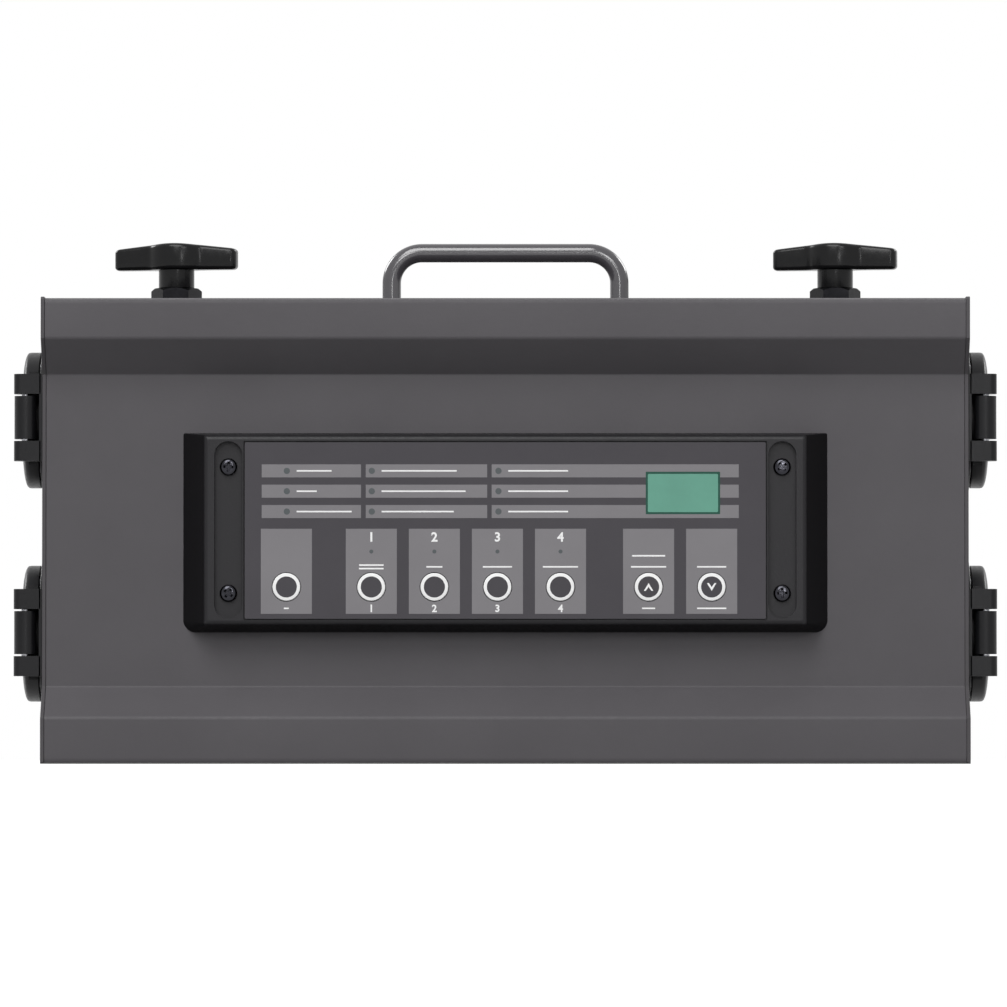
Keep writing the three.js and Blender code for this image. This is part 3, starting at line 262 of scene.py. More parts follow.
def enamelled_winding():
    """Copper wire under clear enamel, wound round a ring: bright ridges a wire apart."""
    material, place = start_material("enamelled_copper_winding")
    ridges = add_node(
        material,
        "ShaderNodeTexWave",
        {"wave_type": "BANDS", "bands_direction": "X", "wave_profile": "SIN"},
        {"Vector": place, "Scale": per_metre(WIRE_PITCH) / WAVE_BANDS},
    ).outputs["Fac"]
    bumps = {"Distance": WIRE_RELIEF * MM}
    sockets = {"Metallic": 1, "Coat_Weight": ENAMEL_SHARE}
    return shaded(material, ridges, WIRE_COLOURS, ridges, WIRE_GLOSS, bumps, **sockets)


# Polyester powder coat, baked on sheet steel: satin, with an orange peel that softens the highlights. The
# real peel is about 0.8 mm across and is drawn at 1.4 mm so that it shows.
COAT = {"roughness": (0.4, 0.52), "grain": 1.4, "depth": 0.05, "patch": 70, "Specular_IOR_Level": 0.15}
CASE_COAT = grained("grey_powder_coat", ("555356", "504e51"), **COAT)
END_COAT = grained("end_powder_coat", ("4e4c4f", "494749"), **COAT)
# ABS moulded in a spark-eroded tool: matt, with a fine sparkle where the light grazes it
CONSOLE_ABS = grained(
    "console_abs", ("1b1a1d", "18171a"),
    roughness=(0.36, 0.48), grain=0.9, depth=0.05, patch=40, Specular_IOR_Level=0.24,
)
# The same ABS, a little smoother and darker: painted shade on the flared walls, which turn away from the
# light, so that they stand back from the face
FLARE_SHADE_ABS = grained(
    "console_abs_painted_shade", ("131214", "111012"),
    roughness=(0.3, 0.4), grain=1.6, depth=0.02, patch=40, Specular_IOR_Level=0.08,
)
# Embossed polyester film: soft gloss with a very fine tooth
LABEL_FILM = grained(
    "polyester_label_film", ("4a484c", "474549"),
    roughness=(0.42, 0.52), grain=1.1, depth=0.015, Specular_IOR_Level=0.1,
)
# Screen-printed inks: flat and even, a little duller than the film, and glossier on the keys
INK = {"roughness": (0.5, 0.6), "grain": 0.9, "depth": 0.01, "Specular_IOR_Level": 0.1}
KEY_INK = {**INK, "roughness": (0.4, 0.5)}
LAMP_INK = {**INK, "roughness": (0.35, 0.45), "patch": 3, "Specular_IOR_Level": 0.2}
GREY_PRINT = grained("light_grey_print", ("817f82", "7d7b7e"), **INK)
WHITE_PRINT = grained("white_print", ("f4f4f4", "ececec"), **INK)
KEY_WHITE = grained("white_key_print", ("f4f4f4", "eaeaea"), **KEY_INK)
KEY_FACE = grained("grey_key_print", ("4a484c", "474549"), **KEY_INK)
LAMP_PRINT = grained("lamp_window_print", ("55595b", "4f5557"), **LAMP_INK)
RIM_PRINT = grained("window_rim_print", ("2e5549", "294d42"), **INK)
# Cast acrylic with a matt front: an even green with a soft gloss
GREEN_WINDOW = grained(
    "green_cast_acrylic", ("649e8b", "5f9684"),
    roughness=(0.3, 0.4), grain=1.2, depth=0.01, patch=16, Specular_IOR_Level=0.2,
)
# Phenolic moulding, polished in its tool: deep black with clear highlights over faint flow marks
KNOB_BLACK = grained(
    "phenolic_knob", ("0f0f10", "0c0c0d"),
    roughness=(0.16, 0.24), grain=2.4, depth=0.02, patch=14, Specular_IOR_Level=0.22,
)
# Glass-filled polyamide: black and satin, its fibres just felt at the surface
SOCKET_BLACK = grained(
    "polyamide_socket", ("141416", "101012"),
    roughness=(0.3, 0.42), grain=1.2, depth=0.03, patch=20, Specular_IOR_Level=0.2,
)
FITTING_BLACK = grained(
    "polyamide_fitting", ("161618", "131315"),
    roughness=(0.34, 0.46), grain=1, depth=0.03, patch=20, Specular_IOR_Level=0.2,
)
TERMINAL_GREEN = grained(
    "terminal_polyamide", ("3f7d55", "396f4c"), roughness=(0.42, 0.52), grain=1, depth=0.03
)
# Moulded nitrile rubber: dull and soft-looking, with a dusty bloom
RUBBER = grained(
    "nitrile_rubber", ("1a1a1b", "222223"),
    roughness=(0.7, 0.85), grain=0.9, depth=0.05, patch=8, Specular_IOR_Level=0.2,
)
# Stove enamel on a drawn rod: a smooth grey with one long highlight, brighter where the rod turns away
ROD_ENAMEL = grained(
    "grey_rod_enamel", ("413f43", "3e3c40"),
    roughness=(0.14, 0.19), grain=2.6, depth=0.0015, patch=12, Specular_IOR_Level=0.8,
)
# Bright zinc plate: pale and slightly blue, with a cloudy gloss
ZINC_STEEL = grained(
    "zinc_plated_steel", ("b4b4b8", "9fa0a5"),
    roughness=(0.24, 0.4), grain=0.7, depth=0.01, patch=3, Metallic=1,
)
# Oxide-blackened steel: dark with an oily gloss and paler spots
BLACK_STEEL = grained(
    "blackened_steel", ("2c2c2f", "38383b"),
    roughness=(0.28, 0.42), grain=0.8, depth=0.02, patch=4, Metallic=1,
)
# Black zinc plate, made darker as painted shade because the nut sits in the shade: nearly black, with a dull
# gloss
NUT_SHADED_BLACK = grained(
    "black_zinc_painted_shade", ("161618", "1e1e20"),
    roughness=(0.32, 0.46), grain=0.8, depth=0.02, patch=4, Metallic=1,
)
# Polished black screws: dark faces and hard bright edges
SCREW_BLACK = grained(
    "polished_black_screw", ("2f2f33", "3a3a3f"),
    roughness=(0.1, 0.17), grain=0.6, depth=0.01, patch=3, Metallic=1,
)
# Varnished steel sheets, stacked: dull, with the sheets' edges drawn as fine lines
CORE_STEEL = grained(
    "lamination_steel", ("6d6d72", "55555a"),
    roughness=(0.4, 0.6), grain=0.9, depth=0.2, patch=12, stretch=(0.02, 1, 0.02), Metallic=1,
)
# Turned brass: warm and bright, with marks from the tool
BRASS = grained(
    "brass_contact", ("c9a45c", "b8924c"),
    roughness=(0.22, 0.36), grain=0.5, depth=0.01, patch=4, Metallic=1,
)
# Extruded aluminium, left bare: die lines along its length
ALUMINIUM = grained(
    "extruded_aluminium", ("b9bbbe", "a9abae"),
    roughness=(0.3, 0.46), grain=0.8, depth=0.02, patch=20, stretch=(0.04, 1, 1), Metallic=1,
)
BOARD = solder_mask()
WINDING = enamelled_winding()

# Shape kit


def box_of(node):
    """Lowest and highest corner of a CAD node, in millimetres."""
    low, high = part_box(node)
    return low / MM, high / MM


def middle_of(node):
    low, high = box_of(node)
    return (low + high) / 2


def moved(shape, at=(0, 0, 0), turn=None):
    """Turns a shape about the origin and then moves it."""
    matrix = Matrix.Translation(at) @ (turn or Matrix.Identity(4))
    bmesh.ops.transform(shape, matrix=matrix, verts=shape.verts)
    return shape


def together(shapes):
    """Several shapes as one."""
    whole = bmesh.new()
    for shape in shapes:
        mesh = bpy.data.meshes.new("loose")
        shape.to_mesh(mesh)
        shape.free()
        whole.from_mesh(mesh)
        bpy.data.meshes.remove(mesh)
    return whole


def rounded(corners, steps=5):
    """The points of a line through corners (x, y, radius), each one rounded in the given steps."""
    points = []
    count = len(corners)
    for i, (x, y, radius) in enumerate(corners):
        corner = Vector((x, y))
        before = (Vector(corners[i - 1][:2]) - corner).normalized()
        after = (Vector(corners[(i + 1) % count][:2]) - corner).normalized()
        half = math.acos(max(-1, min(1, before.dot(after)))) / 2
        if radius == 0 or half > math.pi / 2 - STRAIGHT:
            points.append(corner)
            continue
        centre = corner + (before + after).normalized() * radius / math.sin(half)
        reach = radius / math.tan(half)
        start = corner + before * reach - centre
        turn = (corner + after * reach - centre).angle_signed(start)
        for k in range(steps + 1):
            points.append(centre + Matrix.Rotation(turn * k / steps, 2) @ start)
    return points


def turned(profile, steps=48):
    """A solid of revolution round Z from (radius, height) points that start and end on the axis or close."""
    shape = bmesh.new()
    verts = [shape.verts.new((radius, 0, height)) for radius, height in profile]
    edges = [shape.edges.new(pair) for pair in zip(verts, verts[1:])]
    bmesh.ops.spin(
        shape,
        geom=verts + edges,
        cent=(0, 0, 0),
        axis=(0, 0, 1),
        angle=2 * math.pi,
        steps=steps,
        use_merge=True,
    )
    bmesh.ops.remove_doubles(shape, verts=shape.verts, dist=WELD)
    bmesh.ops.recalc_face_normals(shape, faces=shape.faces)
    return shape


def post(radius, low, high, edge, steps):
    """A round post with rounded rims."""
    corners = [(0, low, 0), (radius, low, edge), (radius, high, edge), (0, high, 0)]
    return turned(rounded(corners, steps=3), steps=steps)


def prism(outline, height, low=0):
    """An outline in X and Y, run upwards."""
    shape = bmesh.new()
    face = shape.faces.new([shape.verts.new((x, y, low)) for x, y in outline])
    raised = bmesh.ops.extrude_face_region(shape, geom=[face], use_keep_orig=True)["geom"]
    verts = [item for item in raised if isinstance(item, bmesh.types.BMVert)]
    bmesh.ops.translate(shape, verts=verts, vec=(0, 0, height))
    bmesh.ops.recalc_face_normals(shape, faces=shape.faces)
    return shape


def as_object(name, shape, material):
    """Puts a shape that is in metres by now into the scene, with smooth faces."""
    for face in shape.faces:
        face.smooth = True
    mesh = bpy.data.meshes.new(name)
    shape.to_mesh(mesh)
    shape.free()
    mesh.materials.append(material)
    made = bpy.data.objects.new(name, mesh)
    bpy.context.scene.collection.objects.link(made)
    return made


def add_piece(name, shape, body, material, finish, *nodes):
    """Makes a shape a piece that rides on a body and stands for the CAD nodes named."""
    bmesh.ops.scale(shape, vec=(MM, MM, MM), verts=shape.verts)
    for edge in shape.edges:
        edge.smooth = len(edge.link_faces) == 2 and edge.calc_face_angle() < CREASE
    piece = as_object(name, shape, material)
    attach(piece, body)
    if nodes:
        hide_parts(*nodes)
    return piece


def recast(node, material, edge):
    """A copy of a CAD node with its hard edges eased and its round faces smooth, which stands for it."""
    source = frame["nodes"][node]
    shape = bmesh.new()
    shape.from_mesh(source.data)
    bmesh.ops.remove_doubles(shape, verts=shape.verts, dist=WELD * MM)
    bmesh.ops.dissolve_limit(shape, angle_limit=FLAT_TURN, verts=shape.verts, edges=shape.edges)
    piece = as_object(node + "_finished", shape, material)
    soften(piece, edge, limit=30)
    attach(piece, source["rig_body"])
    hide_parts(node)


def refinish(node, material):
    """Gives a CAD node another material."""
    for place in frame["nodes"][node].material_slots:
        place.material = material


def carved(shape, *tools, operation="DIFFERENCE"):
    """The shape with the tools cut out of it in turn, or joined to it, or what it shares with them."""
    for tool in tools:
        made = []
        for role, source in (("work", shape), ("tool", tool)):
            mesh = bpy.data.meshes.new(role)
            source.to_mesh(mesh)
            source.free()
            made.append(bpy.data.objects.new(role, mesh))
            bpy.context.scene.collection.objects.link(made[-1])
        cut = made[0].modifiers.new("cut", "BOOLEAN")
        cut.operation = operation
        cut.solver = "EXACT"
        cut.object = made[1]
        result = made[0].evaluated_get(bpy.context.evaluated_depsgraph_get())
        mesh = bpy.data.meshes.new_from_object(result)
        shape = bmesh.new()
        shape.from_mesh(mesh)
        bpy.data.meshes.remove(mesh)
        for item in made:
            mesh = item.data
            bpy.data.objects.remove(item)
            bpy.data.meshes.remove(mesh)
        bmesh.ops.remove_doubles(shape, verts=shape.verts, dist=WELD)
    return shape


def soften(piece, edge, segments=2, limit=40):
    """Eases a piece's hard edges and levels the shading of its flat faces."""
    eased = piece.modifiers.new("eased_edges", "BEVEL")
    eased.width = edge * MM
    eased.segments = segments
    eased.limit_method = "ANGLE"
    eased.angle_limit = math.radians(limit)
    piece.modifiers.new("level_faces", "WEIGHTED_NORMAL")


def lofted(rings):
    """A solid through rings of as many points each, closed at its first and last ring."""
    shape = bmesh.new()
    loops = []
    for ring in rings:
        verts = [shape.verts.new(point) for point in ring]
        loops.append([shape.edges.new(pair) for pair in zip(verts, verts[1:] + verts[:1])])
    for low, high in zip(loops, loops[1:]):
        bmesh.ops.bridge_loops(shape, edges=low + high)
    bmesh.ops.holes_fill(shape, edges=loops[0] + loops[-1], sides=0)
    bmesh.ops.recalc_face_normals(shape, faces=shape.faces)
    return shape


def rounded_box(width, height, corner, x=0, y=0, steps=4):
    """The outline of a rectangle round (x, y) with rounded corners."""
    right, top = width / 2, height / 2
    corners = plain_box(x - right, x + right, y - top, y + top)
    return rounded([(*point, corner) for point in corners], steps)


def plain_box(left, right, bottom, top):
    return [Vector(point) for point in ((left, bottom), (right, bottom), (right, top), (left, top))]


def strip(span_x, span_y, span_z, edge=0.0):
    """A block between the values given along each axis, its edges rounded."""
    (x0, x1), (y0, y1), (z0, z1) = span_x, span_y, span_z
    shape = prism(plain_box(x0, x1, y0, y1), z1 - z0, z0)
    if edge:
        bmesh.ops.bevel(
            shape,
            geom=list(shape.edges),
            offset=edge,
            offset_type="OFFSET",
            segments=3,
            profile=0.5,
            affect="EDGES",
            clamp_overlap=True,
            material=-1,
        )
    return shape


def circle(radius, x=0, y=0, steps=48):
    angles = [2 * math.pi * k / steps for k in range(steps)]
    return [Vector((x + radius * math.cos(a), y + radius * math.sin(a))) for a in angles]


def hexagon(flats):
    return circle(flats / math.sqrt(3), steps=6)


def ring_round(section, steps=48):
    """A ring round Z with the section given."""
    return turned(section + section[:1], steps)


def cutter(outline):
    """A tool that cuts an outline right through a piece."""
    return prism(outline, 2 * CUTTER_REACH, -CUTTER_REACH)


def across(shape):
    """Turns a shape so that its X, Y and Z run along Y, Z and X."""
    return moved(shape, turn=Matrix(((0, 0, 1, 0), (1, 0, 0, 0), (0, 1, 0, 0), (0, 0, 0, 1))))


# Screws
HEAD_EDGE_STEPS = 6
CROSS_SHARE = 0.58  # of the head's radius, from its middle to the end of an arm
ARM_SHARE = 0.15
CROSS_DEPTH_SHARE = 0.7
CROSS_TAPER = 0.6


def cross_outline(reach, arm):
    """A plus sign, from its right arm's upper corner round."""
    quarter = [(reach, -arm), (reach, arm), (arm, arm)]
    return [Matrix.Rotation(k * math.pi / 2, 2) @ Vector(point) for k in range(4) for point in quarter]


def screw_head(radius, height, edge, turn=0.0):
    """A screw's head on Z = 0 with a cross recess and a rounded top edge."""
    corners = [(0, 0, 0), (radius, 0, 0), (radius, height, edge), (0, height, 0)]
    head = turned(rounded(corners, HEAD_EDGE_STEPS), steps=HEAD_STEPS)
    depth = height * CROSS_DEPTH_SHARE
    rings = []
    for share, level in ((CROSS_TAPER, height - depth), (1, height), (1, height + depth)):
        outline = cross_outline(radius * CROSS_SHARE * share, radius * ARM_SHARE * share)
        rings.append([(point.x, point.y, level) for point in outline])
    return moved(carved(head, lofted(rings)), turn=Matrix.Rotation(turn, 4, "Z"))


def screw_set(size, places, direction=None):
    """Heads of one size (radius, height, edge), each with its place and its own turn in radians."""
    return together([moved(screw_head(*size, turn), place, direction) for place, turn in places])


# Folded case
EDGE_EASE = 0.25


def finish_case():
    recast("front_shell", CASE_COAT, EDGE_EASE)
    recast("rear_chassis", CASE_COAT, EDGE_EASE)
    for side in ("left", "right"):
        recast(f"end_plate_{side}", END_COAT, EDGE_EASE)


# Case screws, which hold the end plates' tabs
TAB_PLACE = 178.5
TAB_ROW = 22
CASE_SCREW = (2.9, 1.5, 1.1)  # the head's radius and height, and the rounding of its edge
TOP_SCREW_TURN, REAR_SCREW_TURN = 0.5, 0.9

case_high = box_of("front_shell")[1]
CASE_REAR = case_high.y
CASE_MIDDLE = box_of("end_plate_right")[1].z / 2


def add_case_screws():
    top = [((side * TAB_PLACE, -TAB_ROW, case_high.z), TOP_SCREW_TURN * side) for side in (-1, 1)]
    add_piece("top_case_screws", screw_set(CASE_SCREW, top), "case", ZINC_STEEL, "zinc_steel")
    rear = [((side * TAB_PLACE, CASE_REAR, CASE_MIDDLE), REAR_SCREW_TURN * side) for side in (-1, 1)]
    add_piece("rear_case_screws", screw_set(CASE_SCREW, rear, TO_REAR), "case", ZINC_STEEL, "zinc_steel")


# Console moulding
FACE_HALF = 120
FACE_RISE = 37.8
FACE_EDGE = 0.8
FACE_ROUND = 1.9
FACE_ROUND_STEPS = 7
FLARE_MARGIN = 0.3
BASE_CORNER = 5
SLOT_PLACE = 110.2
SLOT_WIDTH = 11.2
SLOT_LENGTH = 70.6
SLOT_DEPTH = 3.2
POCKET_DEPTH = 1.5
POCKET_MARGIN = 0.5
CONSOLE_HOLLOW_WALL = 6
CONSOLE_HOLLOW_DEPTH = 8.5
CONSOLE_EASE = 0.35
CONSOLE_SCREW_ROW = 25.15
CONSOLE_SCREW = (3.5, 2.4, 1.7)
CONSOLE_SCREW_TURNS = (0.35, 0.3)  # what the screw's side and its end of the slot add

console_low, console_high = box_of("console_housing")
film_low, film_high = box_of("keypad_overlay")
FILM_FACE = film_low.y
FILM_ROW = (film_low.z + film_high.z) / 2 - CASE_MIDDLE
FILM_WIDTH, FILM_HEIGHT = film_high.x - film_low.x, film_high.z - film_low.z


def console_ring(half, top, bottom, corner, out):
    """The console's outline at a height above the case, upright along Y."""
    edge = FACE_EDGE
    corners = [(-half, -bottom, corner), (half, -bottom, corner), (half, top, edge), (-half, top, edge)]
    return [(point.x, point.y, out) for point in rounded(corners, steps=8)]


def make_console():
    depth = console_high.y - console_low.y
    top, bottom = console_high.z - CASE_MIDDLE, CASE_MIDDLE - console_low.z
    rings = [console_ring(console_high.x, top, bottom, BASE_CORNER, 0)]
    for k in range(FACE_ROUND_STEPS):
        angle = k / (FACE_ROUND_STEPS - 1) * math.pi / 2
        inset = FACE_ROUND * (1 - math.cos(angle))
        out = depth - FACE_ROUND * (1 - math.sin(angle))
        rings.append(console_ring(FACE_HALF - inset, FACE_RISE - inset, FACE_RISE - inset, FACE_EDGE, out))
    size = (FILM_WIDTH + 2 * POCKET_MARGIN, FILM_HEIGHT + 2 * POCKET_MARGIN)
    pocket = rounded_box(*size, POCKET_MARGIN, y=FILM_ROW)
    tools = [prism(pocket, depth, depth - POCKET_DEPTH)]
    for side in (-1, 1):
        slot = rounded_box(SLOT_WIDTH, SLOT_LENGTH, SLOT_WIDTH / 2 - WELD, side * SLOT_PLACE, steps=12)
        tools.append(prism(slot, depth, depth - SLOT_DEPTH))
    hollow = rounded_box(2 * (SLOT_PLACE - SLOT_WIDTH), 2 * (FACE_RISE - CONSOLE_HOLLOW_WALL), FACE_EDGE)
    tools.append(prism(hollow, CONSOLE_HOLLOW_DEPTH + OVERRUN, -OVERRUN))
    shape = carved(lofted(rings), *tools)
    moved(shape, (0, console_high.y, CASE_MIDDLE), TO_FRONT)
    piece = add_piece("console_moulding", shape, "case", CONSOLE_ABS, "console_moulding", "console_housing")
    # The flared walls take the darker ABS, which is painted shade
    piece.data.materials.append(FLARE_SHADE_ABS)
    for face in piece.data.polygons:
        side, rise = abs(face.center.x) / MM, abs(face.center.z / MM - CASE_MIDDLE)
        if side > FACE_HALF + FLARE_MARGIN or rise > FACE_RISE + FLARE_MARGIN:
            face.material_index = 1
    soften(piece, CONSOLE_EASE, segments=3)


def add_console_screws():
    places = []
    for side in (-1, 1):
        for end in (-1, 1):
            place = (side * SLOT_PLACE, console_low.y + SLOT_DEPTH, CASE_MIDDLE + end * CONSOLE_SCREW_ROW)
            places.append((place, CONSOLE_SCREW_TURNS[0] * side + CONSOLE_SCREW_TURNS[1] * end))
    heads = screw_set(CONSOLE_SCREW, places, TO_FRONT)
    add_piece("console_screws", heads, "case", SCREW_BLACK, "black_steel")


# Keypad overlay and what is printed on it, with rows measured from the console's middle
PRINT_LOW, PRINT_HEIGHT = -0.02, 0.06
WHITE_PRINT_HEIGHT = 0.08  # white ink and lamp windows stand over the grey ink
RIM_PRINT_HEIGHT = 0.07
CHANNEL_KEYS = [f"channel_{i}" for i in CHANNELS]
KEY_NAMES = ["function", *CHANNEL_KEYS, "up", "down"]
KEY_GAP = 0.3
FILM_CORNER = 0.6
FILM_EASE = 0.12
FILM_CUT = 4  # the height of the tools that cut the film
WINDOW_CORNER = 0.5
WINDOW_EASE = 0.2
BAR_COLUMNS = [(-96.9, -57.4), (-55.5, -7.2), (-5.4, 92.9)]
BAR_ROWS = [23.5, 15.4, 7.3]
BAR_HEIGHT = 5.2
BLOCK_WIDTH = 20.3
BLOCK_TOP, BLOCK_BOTTOM = 0.45, -33.4
LAMP_COLUMNS = [-86.9, -53.1, -2.7]
LAMP_RADIUS = 1.25
CHANNEL_LAMP_ROW = -8.6
CHANNEL_LAMP_RADIUS = 0.8
WINDOW_RIM = 0.55
RULE_HEIGHT = 0.6
RULES = [[13.9, 8.0, 21.9], [29.9, 33.4, 28.7], [23.8, 23.8, 23.8]]  # lengths beside the lamps
RULE_START = 3.9
CHANNEL_NUMBER_ROW = -2.8
CHANNEL_NUMBER_HEIGHT = 3.8
KEY_RULE_ROW = -14.7
PAIR_RULE_ROW = -10.3
KEY_NUMBER_ROW = -31.2
# Half lengths of the rules by each key, with their rows
KEY_RULES = {
    "function": [(1, KEY_NUMBER_ROW)],
    "channel_1": [(4.9, KEY_RULE_ROW + 0.7), (4.9, KEY_RULE_ROW - 0.7)],
    "channel_2": [(3.2, KEY_RULE_ROW)],
    "channel_3": [(5.8, KEY_RULE_ROW)],
    "channel_4": [(7, KEY_RULE_ROW)],
    "up": [(6.6, PAIR_RULE_ROW), (7, KEY_RULE_ROW), (2.6, KEY_NUMBER_ROW)],
    "down": [(5.8, KEY_RULE_ROW), (5.8, KEY_NUMBER_ROW)],
}
KEY_NUMBER_HEIGHT = 3
FIGURE_BOLDNESS = 0.028  # widens the strokes, as a share of the figure's size
FIGURE_HALF_THICKNESS = 0.02
FIGURE_OUT = 0.04
FIGURE_CURVE_STEPS = 4


def on_film(outline, height=PRINT_HEIGHT):
    """A print on the overlay: its outline in the width and the height above the console's middle."""
    return moved(prism(outline, height, PRINT_LOW), (0, FILM_FACE, CASE_MIDDLE), TO_FRONT)


def key_place(name):
    """A key's column and row, and the radius of the hole round it."""
    low, high = box_of(f"key_{name}")
    return (low.x + high.x) / 2, (low.z + high.z) / 2 - CASE_MIDDLE, (high.x - low.x) / 2 + KEY_GAP


def window_sides(margin):
    """The display window's left, right, bottom and top on the overlay, with a margin round it."""
    low, high = box_of("display_window")
    bottom, top = low.z - CASE_MIDDLE - margin, high.z - CASE_MIDDLE + margin
    return low.x - margin, high.x + margin, bottom, top


def make_film():
    film = prism(rounded_box(FILM_WIDTH, FILM_HEIGHT, FILM_CORNER, y=FILM_ROW), film_high.y - film_low.y)
    tools = []
    for name in KEY_NAMES:
        x, row, reach = key_place(name)
        tools.append(prism(circle(reach, x, row, steps=KNOB_STEPS), FILM_CUT, -OVERRUN))
    tools.append(prism(plain_box(*window_sides(KEY_GAP)), FILM_CUT, -OVERRUN))
    film = moved(carved(film, *tools), (0, film_high.y, CASE_MIDDLE), TO_FRONT)
    soften(add_piece("overlay_film", film, "case", LABEL_FILM, "overlay_film", "keypad_overlay"), FILM_EASE)


def make_window():
    low, high = box_of("display_window")
    middle, size = (low + high) / 2, high - low
    pane = prism(rounded_box(size.x, size.z, WINDOW_CORNER), size.y)
    moved(pane, (middle.x, high.y, middle.z), TO_FRONT)
    piece = add_piece("window_pane", pane, "case", GREEN_WINDOW, "display_filter", "display_window")
    soften(piece, WINDOW_EASE)
    outer = rounded_box(size.x + 2 * WINDOW_RIM, size.z + 2 * WINDOW_RIM, WINDOW_CORNER)
    inner = rounded_box(size.x - WINDOW_RIM, size.z - WINDOW_RIM, WINDOW_CORNER)
    rim = carved(prism(outer, RIM_PRINT_HEIGHT, PRINT_LOW), cutter(inner))
    moved(rim, (middle.x, FILM_FACE, middle.z), TO_FRONT)
    add_piece("window_rim", rim, "case", RIM_PRINT, "overlay_film")


def bars_round_window():
    """The outlines of the bars, which leave the window free."""
    left, right, bottom, top = window_sides(WINDOW_RIM)
    outlines = []
    for start, end in BAR_COLUMNS:
        for row in BAR_ROWS:
            under, over = row - BAR_HEIGHT / 2, row + BAR_HEIGHT / 2
            if end < left:
                outlines.append(plain_box(start, end, under, over))
                continue
            outlines.append(plain_box(start, left, under, over))
            outlines.append(plain_box(right, end, under, over))
            if over > top:
                outlines.append(plain_box(left, right, top, over))
            if under < bottom:
                outlines.append(plain_box(left, right, under, bottom))
    return outlines


def add_grey_prints():
    bars = [on_film(outline) for outline in bars_round_window()]
    add_piece("overlay_bars", together(bars), "case", GREY_PRINT, "overlay_film")
    blocks, holes = [], []
    for name in KEY_NAMES:
        x, row, reach = key_place(name)
        blocks.append(on_film(plain_box(x - BLOCK_WIDTH / 2, x + BLOCK_WIDTH / 2, BLOCK_BOTTOM, BLOCK_TOP)))
        holes.append(moved(cutter(circle(reach, x, row)), (0, FILM_FACE, CASE_MIDDLE), TO_FRONT))
    add_piece("overlay_key_blocks", carved(together(blocks), *holes), "case", GREY_PRINT, "overlay_film")


def add_lamp_windows():
    circles = [circle(LAMP_RADIUS, x, row, steps=PIN_STEPS) for x in LAMP_COLUMNS for row in BAR_ROWS]
    for name in CHANNEL_KEYS:
        circles.append(circle(CHANNEL_LAMP_RADIUS, key_place(name)[0], CHANNEL_LAMP_ROW, steps=PIN_STEPS))
    dots = [on_film(outline, WHITE_PRINT_HEIGHT) for outline in circles]
    add_piece("lamp_windows", together(dots), "case", LAMP_PRINT, "overlay_film")


def add_rules():
    """Plain rules where a panel of this kind has its captions."""
    spans = []
    for column, lengths in zip(LAMP_COLUMNS, RULES):
        start = column + RULE_START
        spans += [(start, start + length, row) for row, length in zip(BAR_ROWS, lengths)]
    for name, places in KEY_RULES.items():
        x = key_place(name)[0]
        spans += [(x - half, x + half, row) for half, row in places]
    rules = []
    for left, right, row in spans:
        outline = plain_box(left, right, row - RULE_HEIGHT / 2, row + RULE_HEIGHT / 2)
        rules.append(on_film(outline, WHITE_PRINT_HEIGHT))
    add_piece("overlay_rules", together(rules), "case", WHITE_PRINT, "overlay_film")


def figure(text, height):
    """A plain figure as a thin solid, as high as given, round the origin."""
    curve = bpy.data.curves.new("figure", "FONT")
    curve.body = text
    curve.extrude = FIGURE_HALF_THICKNESS
    curve.offset = FIGURE_BOLDNESS
    curve.resolution_u = FIGURE_CURVE_STEPS
    holder = bpy.data.objects.new("figure", curve)
    bpy.context.scene.collection.objects.link(holder)
    mesh = bpy.data.meshes.new_from_object(holder.evaluated_get(bpy.context.evaluated_depsgraph_get()))
    bpy.data.objects.remove(holder)
    bpy.data.curves.remove(curve)
    shape = bmesh.new()
    shape.from_mesh(mesh)
    bpy.data.meshes.remove(mesh)
    bmesh.ops.remove_doubles(shape, verts=shape.verts, dist=WELD)
    columns, rows = [sorted(vert.co[axis] for vert in shape.verts) for axis in range(2)]
    moved(shape, (-(columns[0] + columns[-1]) / 2, -(rows[0] + rows[-1]) / 2, 0))
    scale = height / (rows[-1] - rows[0])
    bmesh.ops.scale(shape, vec=(scale, scale, 1), verts=shape.verts)
    return shape


def add_figures():
    figures = []
    lines = ((CHANNEL_NUMBER_ROW, CHANNEL_NUMBER_HEIGHT), (KEY_NUMBER_ROW, KEY_NUMBER_HEIGHT))
    for i, name in zip(CHANNELS, CHANNEL_KEYS):
        x = key_place(name)[0]
        for row, height in lines:
            place = (x, FILM_FACE - FIGURE_OUT, CASE_MIDDLE + row)
            figures.append(moved(figure(str(i), height), place, TO_FRONT))
    add_piece("channel_figures", together(figures), "case", WHITE_PRINT, "overlay_film")


# Keys
KEY_STEM = 2.5
KEY_CAP = 0.8
KEY_FACE_RADIUS = 4.2
KEY_FACE_RISE = 0.02
KEY_STEM_EDGE, KEY_CAP_EDGE, KEY_RIM_EDGE = 0.3, 0.15, 0.35
KEY_PRINT = 0.03  # the thickness of what is printed on a key
KEY_PRINT_OUT = 0.01
CHEVRON_HALF = 1.9
CHEVRON_RISE = 3.1
CHEVRON_STROKE = 0.8


def chevron():
    """An arrowhead's outline round the origin, pointing up."""
    tip, foot = CHEVRON_RISE / 2, -CHEVRON_RISE / 2
    stroke = CHEVRON_STROKE * math.hypot(CHEVRON_HALF, CHEVRON_RISE) / CHEVRON_HALF
    points = [(0, tip), (-CHEVRON_HALF, foot), (-CHEVRON_HALF + CHEVRON_STROKE, foot), (0, tip - stroke)]
    points += [(CHEVRON_HALF - CHEVRON_STROKE, foot), (CHEVRON_HALF, foot)]
    return [Vector(point) for point in points]


